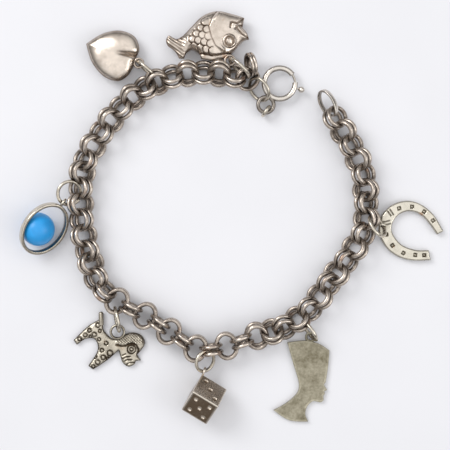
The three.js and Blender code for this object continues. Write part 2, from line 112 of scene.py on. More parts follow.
# ---- Charm outlines in plan: rows with a third value are corners -----------------------------
HEART_OUTLINE = [
    (-30.8, 36.5, 1), (-27.4, 38.6), (-23.8, 39.3), (-20.7, 38.1), (-19.6, 35.5), (-20.3, 33.7, 1),
    (-20.7, 32.2), (-21.9, 30.0), (-24.1, 28.7), (-27.1, 29.7), (-29.6, 32.7),
]
FISH_OUTLINE = [
    (3.4, 37.4, 1), (2.9, 38.8), (2.0, 39.8, 1), (2.4, 41.9, 1), (-0.2, 42.7), (-3.3, 43.3),
    (-6.3, 42.3), (-8.7, 40.0), (-10.3, 38.3), (-11.6, 37.5), (-12.6, 37.8), (-13.4, 38.2),
    (-14.0, 37.3), (-13.7, 36.1), (-12.6, 35.3), (-11.9, 34.5), (-11.3, 33.4, 1),
    (-10.3, 33.3, 1), (-9.7, 34.5), (-8.5, 35.2), (-7.0, 34.3, 1), (-6.6, 33.3, 1), (-3.5, 32.9),
    (-0.9, 33.6, 1), (1.0, 35.8), (2.2, 37.0),
]
HORSESHOE_OUTLINE = [
    (44.4, -2.8, 1), (42.3, 0.7), (39.4, 3.0), (36.4, 3.6), (33.4, 2.6), (31.2, 0.1), (30.8, -3.0),
    (32.3, -6.2), (34.9, -8.2), (38.0, -9.0), (41.7, -8.9, 1), (41.3, -6.8, 1), (38.3, -6.7),
    (35.3, -5.4), (33.5, -2.6), (34.4, 0.1), (37.0, 1.4), (40.0, 0.4), (43.1, -3.5, 1),
]
BUST_OUTLINE = [
    (11.5, -26.3, 1), (15.4, -25.9), (18.2, -26.6), (20.4, -28.0, 1), (20.1, -31.4),
    (19.6, -34.7, 1), (19.3, -35.2), (19.9, -36.3, 1), (19.3, -36.6, 1), (19.4, -37.1),
    (19.1, -37.5, 1), (19.1, -38.5), (18.4, -38.9), (16.9, -38.7), (15.7, -39.8), (15.3, -41.4),
    (15.9, -43.0, 1), (11.9, -42.7), (8.6, -40.6, 1), (11.4, -39.0), (13.6, -36.9), (13.9, -34.7),
    (12.8, -30.9),
]
DOG_OUTLINE = [
    (-28.2, -21.5, 1), (-30.5, -22.8), (-33.6, -25.8, 1), (-32.9, -26.8, 1), (-31.2, -25.6),
    (-29.3, -25.5), (-28.5, -27.0), (-28.8, -28.6), (-30.5, -31.2, 1), (-29.5, -32.0, 1),
    (-26.6, -30.1), (-24.1, -28.0, 1), (-23.7, -29.3), (-23.2, -30.6), (-22.0, -31.4),
    (-20.8, -30.9), (-20.4, -30.2), (-19.4, -30.1, 1), (-20.2, -28.9, 1), (-18.6, -26.7),
    (-19.2, -24.9), (-20.9, -24.2), (-22.6, -24.5), (-24.0, -25.4, 1), (-25.6, -25.4),
    (-27.3, -23.6), (-27.3, -21.8, 1),
]

# ---- Charm sizes -----------------------------------------------------------------------------
HEART_MIDDLE, HEART_HALF = 2.15, 2.1
HEART_LUG = {"at": (-19.75, 32.45, 2.4), "radius": 0.9, "wire": 0.3}
HEART_CREASE = [(-20.1, 33.9), (-21.8, 34.2), (-24.3, 34.5)]
FISH_MIDDLE, FISH_HALF = 2.3, 2.2
FISH_BAIL = {"at": (-0.63, 32.95, 3.12), "radius": 1.0, "wire": 0.22}
FISH_COLLAR = [(-2.9, 42.9), (-4.1, 41.3), (-4.5, 39.8), (-4.0, 37.9), (-3.2, 36.2), (-1.9, 35.0)]
FISH_EYE = (-0.72, 36.85)
FISH_FIN = [(-6.8, 34.35), (-3.7, 33.95), (-0.9, 34.4)]
# Its scales: columns run back from the collar, and each row is a step across the body.
FISH_SCALES = {"from": (-4.05, 38.95), "columns": 5, "rows": 6, "column_step": 1.12, "row_step": 1.55,
               "collar_gap": 1.05, "leans": -14}
FISH_LIPS = [
    [(3.2, 37.6), (1.9, 38.4), (1.0, 39.4)], [(2.0, 40.2), (1.1, 40.1), (0.5, 39.5)],
    [(2.1, 41.6), (0.9, 40.6), (-0.3, 40.9), (-0.5, 39.8)],
]
FISH_LIP_EDGES = [[(2.4, 41.0), (1.3, 40.0), (0.2, 40.4)], [(3.1, 38.3), (1.6, 39.3)]]
FISH_NAPE = [(-6.9, 41.6), (-9.3, 39.2), (-11.0, 37.6)]
HORSESHOE_THICK = 1.5
HORSESHOE_BAIL = {"at": (31.4, -1.4, 1.95), "radius": 0.8, "wire": 0.25, "runs": -17}
# Nail holes: x, y and which way the square one is turned.
NAIL_HOLES = [
    (35.0, 2.0, 15), (37.7, 2.35, -5), (40.3, 1.3, -30), (42.15, -0.55, -50), (32.3, -3.5, 5),
    (33.6, -5.8, 35), (35.9, -7.4, 60), (38.4, -7.8, 80), (40.3, -7.85, 90),
]
TOE_LINES = [
    [(32.55, 1.45), (33.35, 0.35)], [(33.05, 1.8), (33.85, 0.6)],
    [(31.35, -1.0), (33.1, -0.55)], [(31.25, -1.75), (33.2, -1.2)],
]
BUST_THICK = 0.9
BUST_BAIL = {"at": (16.4, -25.1, 1.0), "radius": 0.95, "wire": 0.27, "tilt": 20}
DIE = {"edge": 6.1, "tilt": 35, "x": -5.6, "y": -37.18, "runs": -31.1}
DIE_BAIL = {"at": (-6.05, -32.05, 3.75), "radius": 0.75, "wire": 0.24, "runs": 70}
DIE_ROUND, PIP_RADIUS, PIP_DEPTH, PIP_STEP = 0.28, 0.5, 0.3, 1.62
DOG_THICK = 1.5
DOG_TAIL = {"from": (-27.8, -19.8), "to": (-27.75, -22.6), "radius": 0.52}
DOG_BAIL = {"at": (-24.3, -24.0, 1.3), "radius": 1.4, "wire": 0.27}
DOG_EYE = (-21.35, -27.7)
DOG_EAR_LINE = [(-24.6, -26.75), (-23.4, -27.05), (-22.5, -26.95), (-21.9, -26.6), (-21.2, -26.4),
                (-20.4, -26.8), (-19.9, -27.7), (-20.1, -28.6)]
DOG_CURLS = [
    (-28.4, -22.6, 0.5), (-29.2, -24.6, 0.5), (-30.2, -23.7, 0.4), (-31.1, -24.7, 0.42),
    (-32.3, -25.5, 0.4), (-28.0, -23.8, 0.35), (-26.7, -26.4, 0.4), (-25.9, -28.5, 0.6),
    (-27.3, -29.4, 0.5), (-28.5, -30.4, 0.5), (-29.4, -31.3, 0.35), (-27.6, -27.9, 0.4),
    (-28.2, -25.6, 0.35), (-30.0, -25.0, 0.3), (-29.0, -29.3, 0.3), (-26.4, -29.6, 0.28),
]
DOG_WHISKERS = [
    [(-23.3, -29.0), (-22.6, -28.7)], [(-23.3, -29.7), (-22.4, -29.3), (-21.6, -29.2)],
    [(-23.0, -30.3), (-22.2, -29.9), (-21.3, -29.9)], [(-22.4, -30.9), (-21.6, -30.5), (-20.8, -30.5)],
]
BEAD_AT, BEAD_RADIUS, BEAD_HOLE = (-40.7, -2.37, 3.52), 3.5, 0.45
BEAD_FRAME = {"at": (-39.3, -2.27, 4.1), "half": (5.95, 4.9), "band": 0.7, "height": 1.3,
              "runs": 54, "tilt": 38}
BEAD_BAIL = {"reach": 6.75, "radius": 0.75, "wire": 0.25}
PIN = {"angle": 95, "level": -0.45, "radius": 0.3, "inside": 0.4, "outside": 4.1}

# ---- Stage -----------------------------------------------------------------------------------
TABLE_HALF_M = 1.5
CAMERA_AT = (-1.65, -1.5, 264.0)
CAMERA_LENS, CAMERA_SENSOR, CAMERA_CLIP_M = 99.8, 36.0, 0.005
# Each light's name, place and size in metres, and power in watts. They aim at the frame's origin.
LIGHTS = [
    ("window", (-0.35, 0.30, 0.42), (0.3, 0.3), 1.6),
    ("card", (0.45, -0.10, 0.30), (0.3, 0.3), 0.6),
]
# The tent of light: how bright it is, and its shade from level (0) to straight up (1).
TENT_STRENGTH = 1.2
TENT_SHADES = [(0.0, 0.1), (0.95, 1.0), (0.35, 0.22), (0.72, 0.85)]


# ---- Small helpers ---------------------------------------------------------------------------
def linear(hex_colour):
    """An sRGB hex colour as linear RGBA."""
    parts = [int(hex_colour[i:i + 2], 16) / 255 for i in (1, 3, 5)]
    return [p / 12.92 if p <= 0.04045 else ((p + 0.055) / 1.055) ** 2.4 for p in parts] + [1.0]


def metres(points):
    """Layout millimetres as frame metres."""
    return (np.asarray(points, float) + np.array(LAYOUT_SHIFT)) * MM


def standing(at, stands, runs):
    """Where a ring lies: at a place, standing at an angle about a direction in plan."""
    turn = Matrix.Rotation(math.radians(runs), 4, "Z")
    return Matrix.Translation(at) @ turn @ Matrix.Rotation(math.radians(stands), 4, "X")


def smooth_step(low, high, value):
    """0 below low, 1 above high, and eased between them."""
    share = np.clip((np.asarray(value, float) - low) / (high - low), 0, 1)
    return share * share * (3 - 2 * share)


def looks():
    """The sizes and colours that a user may change."""
    return bpy.context.scene.charm_bracelet


class Shape:
    """Vertices in layout millimetres, faces, and how dark each vertex is marked: tarnish, and painted
    shade on some pieces.
    """

    def __init__(self, vertices=(), faces=(), tarnish_and_shade=None):
        self.vertices = np.asarray(vertices, float).reshape(-1, 3)
        self.faces = [tuple(face) for face in faces]
        self.tarnish_and_shade = np.zeros(len(self.vertices)) if tarnish_and_shade is None else np.asarray(tarnish_and_shade, float)

    def placed(self, matrix):
        """This shape moved and turned."""
        turned = np.array(matrix)[:3, :3]
        moved = self.vertices @ turned.T + np.array(matrix)[:3, 3]
        return Shape(moved, self.faces, self.tarnish_and_shade)

    def __add__(self, other):
        first = len(self.vertices)
        faces = self.faces + [tuple(i + first for i in face) for face in other.faces]
        return Shape(np.vstack([self.vertices, other.vertices]), faces,
                     np.concatenate([self.tarnish_and_shade, other.tarnish_and_shade]))


def make_piece(name, shape, material, nodes, body="bracelet", crease=40):
    """Makes the object of a shape, which stands for these CAD nodes and rides on a body."""
    mesh = bpy.data.meshes.new(name)
    mesh.from_pydata(metres(shape.vertices).tolist(), [], shape.faces)
    attribute = mesh.attributes.new("tarnish_and_shade", "FLOAT", "POINT")
    attribute.data.foreach_set("value", shape.tarnish_and_shade.astype(np.float32))
    mesh.validate()
    piece = bpy.data.objects.new(name, mesh)
    bpy.context.scene.collection.objects.link(piece)
    mesh.materials.append(material)
    mesh.shade_smooth()
    mesh.set_sharp_from_angle(angle=math.radians(crease))
    claim(piece, nodes, body)
    return piece


def claim(piece, nodes, body):
    """Hides the CAD nodes that a piece stands for, and puts the piece on the body it rides on."""
    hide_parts(*nodes)
    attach(piece, body)


# ---- Solids of revolution and swept wire -----------------------------------------------------
def round_section(radius, sides=12):
    """The corners of a round wire's section: how far out and how far up."""
    turns = np.arange(sides) * 2 * math.pi / sides
    return np.stack([radius * np.cos(turns), radius * np.sin(turns)], 1)


def strip_section(thick, height, corner, steps=3):
    """The corners of a flat strip's section with rounded edges."""
    points = []
    for quarter, (side, level) in enumerate([(1, 1), (-1, 1), (-1, -1), (1, -1)]):
        for i in range(steps + 1):
            turn = math.radians(90 * (quarter + i / steps))
            points.append((side * (thick / 2 - corner) + corner * math.cos(turn),
                           level * (height / 2 - corner) + corner * math.sin(turn)))
    return np.array(points)


def between(low, high, sides):
    """The faces between two rings of vertices that start at these numbers."""
    return [(low + j, low + (j + 1) % sides, high + (j + 1) % sides, high + j) for j in range(sides)]


def turned_solid(points, sides):
    """A closed shape from rings of vertices, one above the other."""
    last = len(points) - 1
    faces = [face for i in range(last) for face in between(i * sides, (i + 1) * sides, sides)]
    faces.append(tuple(reversed(range(sides))))
    faces.append(tuple(range(last * sides, (last + 1) * sides)))
    return Shape(np.vstack(points), faces)


def swept_ring(half, section, steps, start=0.0, end=360.0):
    """A section swept round an oval, closed or from one angle to another with domed ends."""
    closed = end - start >= 360
    turns = np.radians(np.linspace(start, end, steps + 1))
    turns = turns[:-1] if closed else turns
    middle = np.stack([half[0] * np.cos(turns), half[1] * np.sin(turns)], 1)
    out = np.stack([half[1] * np.cos(turns), half[0] * np.sin(turns)], 1)
    out /= np.linalg.norm(out, axis=1)[:, None]
    sides = len(section)
    points = np.vstack([np.column_stack([place + way * section[:, :1], section[:, 1]])
                        for place, way in zip(middle, out)])
    faces = []
    for i in range(len(turns) if closed else len(turns) - 1):
        faces += between(i * sides, (i + 1) % len(turns) * sides, sides)
    faces = [tuple(reversed(face)) for face in faces]
    if not closed:
        for at, turn, sign in ((0, turns[0], -1), (len(turns) - 1, turns[-1], 1)):
            reach = np.abs(section).max() * 0.45
            ahead = np.array([-half[0] * math.sin(turn), half[1] * math.cos(turn)])
            ahead *= sign * reach / np.linalg.norm(ahead)
            tip = len(points)
            points = np.vstack([points, [*(middle[at] + ahead), 0.0]])
            ring = [at * sides + j for j in range(sides)]
            for j in range(sides):
                pair = (ring[j], ring[(j + 1) % sides])
                faces.append((*pair, tip) if sign < 0 else (*reversed(pair), tip))
    # The inner side of the wire is marked darker than its outer side, and the tips of domed ends half as
    # dark.
    radial = np.tile(section[:, 0], len(turns))
    inner = smooth_step(section[:, 0].max(), section[:, 0].min(), radial)
    inner = np.concatenate([inner, np.full(len(points) - len(radial), 0.5)])
    return Shape(points, faces, inner * 0.8)


def bail_ring(bail, stands, runs, steps=36):
    """The small soldered ring of a charm."""
    ring = swept_ring((bail["radius"],) * 2, round_section(bail["wire"], 10), steps)
    return ring.placed(standing(bail["at"], stands, runs))


def turned_pin(start, end, radii, sides=16):
    """A round pin between two places. Each radius has its share of the way along."""
    start, end = Vector(start), Vector(end)
    way = (end - start).to_track_quat("Z", "Y").to_matrix().to_4x4()
    length = (end - start).length
    section = round_section(1.0, sides)
    points = [np.column_stack([section * radius, np.full(sides, share * length)])
              for share, radius in radii]
    return turned_solid(points, sides).placed(Matrix.Translation(start) @ way)


def ball(at, radius, sides=24, rings=16):
    """A ball with its poles up and down."""
    points = [(0, 0, -radius)]
    for i in range(1, rings):
        level = -math.pi / 2 + math.pi * i / rings
        points += [(radius * math.cos(level) * x, radius * math.cos(level) * y, radius * math.sin(level))
                   for x, y in round_section(1.0, sides)]
    points.append((0, 0, radius))
    top = len(points) - 1
    faces = [(0, 1 + (j + 1) % sides, 1 + j) for j in range(sides)]
    for i in range(rings - 2):
        faces += between(1 + i * sides, 1 + (i + 1) * sides, sides)
    last = 1 + (rings - 2) * sides
    faces += [(last + j, last + (j + 1) % sides, top) for j in range(sides)]
    return Shape(np.array(points) + np.array(at), faces)


# ---- Struck plates and puffed charms ---------------------------------------------------------
def smooth_outline(rows, steps):
    """Points along an outline: smooth between its corners."""
    start = next(i for i, row in enumerate(rows) if len(row) > 2)
    rows = rows[start:] + rows[:start] + [rows[start]]
    points, run = [], [rows[0]]
    for row in rows[1:]:
        run.append(row)
        if len(row) > 2:
            way = np.array([point[:2] for point in run])
            for i in range(len(way) - 1):
                before, after = way[max(i - 1, 0)], way[min(i + 2, len(way) - 1)]
                here, there = way[i], way[i + 1]
                leave, arrive = (there - before) / 2, (after - here) / 2
                for t in np.arange(steps) / steps:
                    points.append((2 * here - 2 * there + leave + arrive) * t ** 3
                                  + (-3 * here + 3 * there - 2 * leave - arrive) * t * t
                                  + leave * t + here)
            run = [row]
    return np.array(points)


def evenly(points, step):
    """A closed outline with points about a step apart that keeps its corners."""
    result = []
    for here, there in zip(points, np.roll(points, -1, axis=0)):
        count = max(1, round(float(np.linalg.norm(there - here)) / step))
        result += [here + (there - here) * i / count for i in range(count)]
    return np.array(result)


def line_distance(spots, line, closed=False):
    """How far each spot is from a line of straight pieces."""
    line = np.asarray(line, float)
    ends = np.roll(line, -1, axis=0) if closed else line[1:]
    starts = line if closed else line[:-1]
    nearest = np.full(len(spots), 1e9)
    for here, there in zip(starts, ends):
        along = there - here
        share = np.clip(((spots - here) @ along) / max(along @ along, 1e-12), 0, 1)
        nearest = np.minimum(nearest, np.linalg.norm(spots - here - share[:, None] * along, axis=1))
    return nearest


def inside(spots, outline):
    """Which spots lie inside a closed outline."""
    result = np.zeros(len(spots), bool)
    for here, there in zip(outline, np.roll(outline, -1, axis=0)):
        crosses = (here[1] > spots[:, 1]) != (there[1] > spots[:, 1])
        if here[1] == there[1]:
            continue
        at = here[0] + (spots[:, 1] - here[1]) * (there[0] - here[0]) / (there[1] - here[1])
        result ^= crosses & (spots[:, 0] < at)
    return result


def relief(rows, levels, step=0.16):
    """A closed shape over an outline. levels(spots, depth) gives its top, bottom and darkness marks,
    of tarnish and painted shade, where depth is how far inside the outline a spot lies."""
    outline = evenly(smooth_outline(rows, 8), step)
    low, high = outline.min(0), outline.max(0)
    across = np.arange(low[0], high[0], step)
    up = np.arange(low[1], high[1], step * 0.866)
    grid = np.array([(x + (j % 2) * step / 2, y) for j, y in enumerate(up) for x in across])
    grid = grid[inside(grid, outline)]
    depth = line_distance(grid, outline, closed=True)
    grid = grid[depth > step * 1.45]
    # Rows just inside the edge keep its rounding crisp.
    ways = np.roll(outline, -1, axis=0) - np.roll(outline, 1, axis=0)
    x, y = outline.T
    signed = np.sum(x * np.roll(y, -1) - y * np.roll(x, -1))
    inward = np.stack([-ways[:, 1], ways[:, 0]], 1) * np.sign(signed)
    inward /= np.linalg.norm(inward, axis=1)[:, None] + 1e-12
    rims = []
    for reach in (0.35, 0.9):
        rim = outline + inward * reach * step
        clear = line_distance(rim, outline, closed=True) > reach * step * 0.85
        rims.append(rim[inside(rim, outline) & clear])
    spots = np.vstack([outline, *rims, grid])
    count = len(outline)
    loop = [(i, (i + 1) % count) for i in range(count)]
    flat, _, faces, *_ = geometry.delaunay_2d_cdt([Vector(s) for s in spots], loop, [], 1, 1e-6, True)
    flat = np.array([tuple(v) for v in flat])
    depth = line_distance(flat, outline, closed=True)
    top, bottom, tarnish_and_shade = levels(flat, depth)
    corners = flat[np.array([face[:3] for face in faces])]
    kept = inside(corners.mean(1), outline)
    across, up = corners[:, 1] - corners[:, 0], corners[:, 2] - corners[:, 0]
    area = across[:, 0] * up[:, 1] - across[:, 1] * up[:, 0]
    turned = [(a, b, c) if size > 0 else (a, c, b)
              for (a, b, c), keep, size in zip(faces, kept, area) if keep]
    edges = {(a, b) for face in turned for a, b in zip(face, face[1:] + face[:1])}
    rim = [(a, b) for a, b in edges if (b, a) not in edges]
    base = len(flat)
    walls = [(b, a, a + base, b + base) for a, b in rim]
    under = [(c + base, b + base, a + base) for a, b, c in turned]
    vertices = np.vstack([np.column_stack([flat, top]), np.column_stack([flat, bottom])])
    return Shape(vertices, turned + walls + under, np.concatenate([tarnish_and_shade, tarnish_and_shade * 0.6]))


def dome(depth, reach, power=2.0):
    """How a puffed surface rises from its edge: 0 at the edge and 1 from reach inward."""
    share = np.clip(depth / reach, 0, 1)
    return (1 - (1 - share) ** power) ** (1 / power)


def groove(spots, line, width):
    """1 along a line, fading to 0 about a width away."""
    return np.exp(-(line_distance(spots, line) / width) ** 2)


def ring_stamp(spots, middle, radius, width):
    """1 along a small circle, fading to 0 about a width away."""
    away = np.abs(np.linalg.norm(spots - np.array(middle), axis=1) - radius)
    return np.exp(-(away / width) ** 2)


def spot_stamp(spots, middle, radius):
    """1 inside a small round spot, with a soft edge."""
    away = np.linalg.norm(spots - np.array(middle), axis=1)
    return 1 - smooth_step(radius * 0.75, radius * 1.15, away)


def waves(spots, length):
    """A slow uneven swell, as of hand-worked metal, between about -1 and 1."""
    x, y = spots[:, 0] / length, spots[:, 1] / length
    return (np.sin(3.1 * x + 1.7 * y) + np.sin(4.3 * y - 1.3 * x + 1)
            + np.sin(2.3 * x - 3.9 * y + 2)) / 3


def heart_levels(spots, depth):
    """The puffed heart: a smooth dome with a crease running in from its cleft."""
    crease = groove(spots, HEART_CREASE, 0.42)
    inward = np.clip((-20.2 - spots[:, 0]) / 4.5, 0, 1)
    crease *= (1 - inward) ** 0.7
    rise = 0.08 + 0.92 * dome(depth, 4.6, 2.1)
    swell = 0.035 * waves(spots, 2.6) * dome(depth, 2.0)
    top = HEART_MIDDLE + HEART_HALF * (rise - 0.42 * crease * dome(depth, 1.2) - 0.02 + swell)
    bottom = HEART_MIDDLE - HEART_HALF * rise
    # Painted shade darkens the rolled edge all round; the crease keeps tarnish in its hollow.
    rim = np.exp(-(depth / 0.3) ** 2)
    return top, bottom, np.clip(0.9 * rim + 0.75 * crease, 0, 1)


def fish_levels(spots, depth):
    """The puffed fish: collar, scales, eye, lips, ribbed tail and a fin strip along its belly."""
    x, y = spots[:, 0], spots[:, 1]
    body = smooth_step(-11.0, -8.0, x)
    rise = 0.16 + (0.34 + 0.5 * body) * dome(depth, 1.2 + 3.1 * body, 2.0)
    behind = line_distance(spots, FISH_COLLAR)
    collar = np.exp(-(behind / 0.3) ** 2)
    collar_x, collar_y = zip(*FISH_COLLAR[::-1])
    back = np.interp(y, collar_y, collar_x) - x
    lined = smooth_step(0.25, 0.5, back)
    scales = np.zeros(len(spots))
    edge = np.zeros(len(spots))
    tilt = math.radians(FISH_SCALES["leans"])
    from_x, from_y = FISH_SCALES["from"]
    middle_row = (FISH_SCALES["rows"] - 1) / 2
    for column in range(FISH_SCALES["columns"]):
        for row in range(FISH_SCALES["rows"]):
            away = FISH_SCALES["collar_gap"] + FISH_SCALES["column_step"] * column
            side = (row - middle_row + 0.5 * (column % 2)) * FISH_SCALES["row_step"]
            at = (from_x - away * math.cos(tilt) + side * math.sin(tilt),
                  from_y + away * math.sin(tilt) * 1.6 + side * math.cos(tilt))
            gap = spots - np.array(at)
            far = np.hypot(gap[:, 0] * 0.95, gap[:, 1] * 1.08)
            leaf = np.clip(1 - (far / 0.92) ** 8, 0, 1) * (0.42 - 0.62 * gap[:, 0])
            scales = np.maximum(scales, leaf)
            rear = np.exp(-((far - 0.95) / 0.12) ** 2) * smooth_step(0.3, -0.3, gap[:, 0])
            edge = np.maximum(edge, rear)
    where = lined * smooth_step(0.45, 1.1, depth) * smooth_step(-9.9, -8.9, x)
    scales, edge = scales * where, edge * where
    eye_at = np.linalg.norm(spots - np.array(FISH_EYE), axis=1)
    eye_rim = ring_stamp(spots, FISH_EYE, 1.15, 0.17) + 0.8 * ring_stamp(spots, FISH_EYE, 0.58, 0.12)
    eye_dark = ring_stamp(spots, FISH_EYE, 0.86, 0.16) + ring_stamp(spots, FISH_EYE, 1.42, 0.1)
    eye_bed = spot_stamp(spots, FISH_EYE, 1.25)
    mouth = np.maximum.reduce([groove(spots, line, 0.2) for line in FISH_LIPS])
    lip_edge = np.maximum.reduce([groove(spots, line, 0.16) for line in FISH_LIP_EDGES])
    fin = smooth_step(0.25, -0.1, y - np.interp(x, *zip(*FISH_FIN)))
    fin *= smooth_step(-7.2, -6.6, x) * smooth_step(0.2, -0.6, x)
    fin_line = groove(spots, FISH_FIN, 0.17)
    ribs = 0.5 + 0.5 * np.cos(2 * math.pi * (0.75 * x + 1.1 * y) / 0.85)
    tail = smooth_step(-9.6, -10.8, x) * smooth_step(0.1, 0.35, depth)
    nape = groove(spots, FISH_NAPE, 0.22) * 0.5
    height = FISH_HALF * rise * (1 - 0.55 * fin)
    height += 0.36 * collar * body + 0.42 * scales - 0.12 * edge + 0.22 * np.clip(eye_rim, 0, 1)
    height += -0.14 * eye_bed - 0.1 * np.clip(eye_dark, 0, 1) - 0.3 * mouth + 0.12 * lip_edge
    height += -0.14 * ribs * tail - 0.12 * fin_line + 0.1 * smooth_step(0.45, 0.3, eye_at)
    height += 0.03 * waves(spots, 1.7) - 0.12 * nape
    top = np.minimum(FISH_MIDDLE + height, FISH_MIDDLE + FISH_HALF)
    bottom = FISH_MIDDLE - FISH_HALF * rise * (1 - 0.55 * fin)
    # Painted shade darkens the rolled edge all round (the depth term); the grooves, scale edges, eye
    # rings and tail ribs keep tarnish.
    dark = 0.9 * edge + 0.75 * mouth + 0.6 * ribs * tail + 0.8 * np.clip(eye_dark, 0, 1)
    dark += 0.7 * fin_line + 0.5 * nape + 0.6 * np.exp(-(depth / 0.32) ** 2)
    dark += 0.8 * lined * np.exp(-((behind - 0.5) / 0.16) ** 2)
    return top, bottom, np.clip(dark, 0, 1)


def rounded_edge(depth, radius):
    """How far a rounded edge drops below the flat, at a depth inside the outline."""
    share = np.clip(1 - depth / radius, 0, 1)
    return radius * (1 - np.sqrt(1 - share * share))


def horseshoe_levels(spots, depth):
    """The horseshoe: a rounded bar with square nail holes and two pairs of lines at its toe."""
    drop = rounded_edge(depth, 0.3) + 0.22 * (1 - dome(depth, 1.1))
    holes = np.zeros(len(spots))
    for x, y, turn in NAIL_HOLES:
        way = math.radians(turn)
        gap = spots - np.array((x, y))
        across = np.abs(gap[:, 0] * math.cos(way) + gap[:, 1] * math.sin(way))
        up = np.abs(gap[:, 1] * math.cos(way) - gap[:, 0] * math.sin(way))
        square = np.maximum(across, up)
        holes = np.maximum(holes, 1 - smooth_step(0.3, 0.46, square))
        holes = np.maximum(holes, 0.0) - 0.55 * (1 - smooth_step(0.1, 0.24, square))
    lines = np.maximum.reduce([groove(spots, line, 0.13) for line in TOE_LINES])
    top = HORSESHOE_THICK - drop - 0.24 * holes - 0.16 * lines + 0.015 * waves(spots, 1.5)
    bottom = rounded_edge(depth, 0.15)
    # The nail holes and toe lines keep tarnish, and painted shade darkens the edge all round.
    dark = 0.95 * np.clip(holes, 0, 1) + 0.8 * lines + 0.45 * np.exp(-(depth / 0.2) ** 2)
    return top, bottom, np.clip(dark, 0, 1)


def bust_levels(spots, depth):
    """The flat bust: a frosted field a little below a plain raised rim."""
    rim = np.exp(-((depth - 0.16) / 0.13) ** 2)
    field = smooth_step(0.22, 0.42, depth)
    top = BUST_THICK - 0.07 * field - rounded_edge(depth, 0.1) + 0.012 * waves(spots, 0.9)
    bottom = rounded_edge(depth, 0.08)
    return np.minimum(top, BUST_THICK), bottom, np.clip(0.5 * field - rim, 0, 1)


def dog_levels(spots, depth):
    """The poodle: curls stamped on its legs and back, a hatched ear, a ringed eye and whiskers."""
    x, y = spots[:, 0], spots[:, 1]
    rise = dome(depth, 1.3, 2.2)
    curls = np.zeros(len(spots))
    beads = np.zeros(len(spots))
    for at_x, at_y, radius in DOG_CURLS:
        curls = np.maximum(curls, ring_stamp(spots, (at_x, at_y), radius, 0.13))
        beads = np.maximum(beads, spot_stamp(spots, (at_x, at_y), radius * 0.6))
    ear = smooth_step(-26.9, -26.4, y) * smooth_step(-24.9, -24.0, x) * smooth_step(0.15, 0.4, depth)
    slant, cross = (x + y) / 0.62, (x - y) / 0.62
    hatch = np.maximum(np.cos(math.pi * slant) ** 8, np.cos(math.pi * cross) ** 8) * ear
    ear_line = groove(spots, DOG_EAR_LINE, 0.2)
    whiskers = np.maximum.reduce([groove(spots, line, 0.14) for line in DOG_WHISKERS])
    eye_rim = ring_stamp(spots, DOG_EYE, 0.62, 0.14)
    eye_dark = np.maximum(ring_stamp(spots, DOG_EYE, 0.92, 0.16), ring_stamp(spots, DOG_EYE, 0.33, 0.12))
    fur = np.abs(waves(spots, 0.42)) * smooth_step(-24.5, -26.5, x)
    top = 0.72 + 0.56 * rise - 0.17 * curls + 0.1 * beads - 0.12 * hatch - 0.26 * ear_line
    top += -0.2 * whiskers + 0.12 * eye_rim - 0.16 * eye_dark + 0.16 * ear - 0.05 * fur
    top = np.minimum(top, DOG_THICK)
    bottom = 0.2 * (1 - dome(depth, 0.5))
    # The stamped curls, hatching, lines, eye and fur keep tarnish, and painted shade darkens the edge
    # all round.
    dark = 0.85 * curls + 0.6 * hatch + ear_line + 0.85 * whiskers + 0.9 * eye_dark + 0.4 * fur
    dark += 0.75 * np.exp(-(depth / 0.25) ** 2)
    return top, bottom, np.clip(dark, 0, 1)


# ---- Materials -------------------------------------------------------------------------------
def add(tree, kind, settings=None, **inputs):
    """Adds a node with its settings, and sets or links its inputs by name."""
    node = tree.nodes.new(kind)
    for key, value in (settings or {}).items():
        setattr(node, key, value)
    for key, value in inputs.items():
        name = key.replace("_", " ")
        socket = node.inputs[int(key[1:])] if key[0] == "i" and key[1:].isdigit() else node.inputs[name]
        if isinstance(value, bpy.types.NodeSocket):
            tree.links.new(value, socket)
        else:
            socket.default_value = value
    return node


def ramp(tree, source, stops):
    """A colour ramp's output: stops are places and colours, or places and shades of grey."""
    node = add(tree, "ShaderNodeValToRGB", i0=source)
    steps = node.color_ramp.elements
    for i, (place, colour) in enumerate(stops):
        step = steps[i] if i < 2 else steps.new(place)
        step.position = place
        step.color = colour if not isinstance(colour, (int, float)) else (colour, colour, colour, 1)
    return node.outputs["Color"]


def mixed(tree, share, first, second):
    """Two colours mixed by a share."""
    node = add(tree, "ShaderNodeMix", {"data_type": "RGBA"}, i0=share, i6=first, i7=second)
    return node.outputs[2]


def sum_of(tree, operation, first, second):
    """Two numbers put together, kept between 0 and 1."""
    node = add(tree, "ShaderNodeMath", {"operation": operation, "use_clamp": True}, i0=first, i1=second)
    return node.outputs[0]


def noise_at(tree, spots, size_mm, detail=3.0, stretch=None):
    """Noise whose lumps are about this many millimetres across."""
    if stretch:
        mapping = add(tree, "ShaderNodeMapping", Vector=spots, Scale=stretch[0], Rotation=stretch[1])
        spots = mapping.outputs[0]
    node = add(tree, "ShaderNodeTexNoise", Vector=spots, Scale=1 / (size_mm * MM), Detail=detail,
               Roughness=0.55)
    return node.outputs["Fac"]


def emptied(owner):
    """A material or world with no nodes yet, and its node tree."""
    owner.use_nodes = True
    owner.node_tree.nodes.clear()
    return owner, owner.node_tree


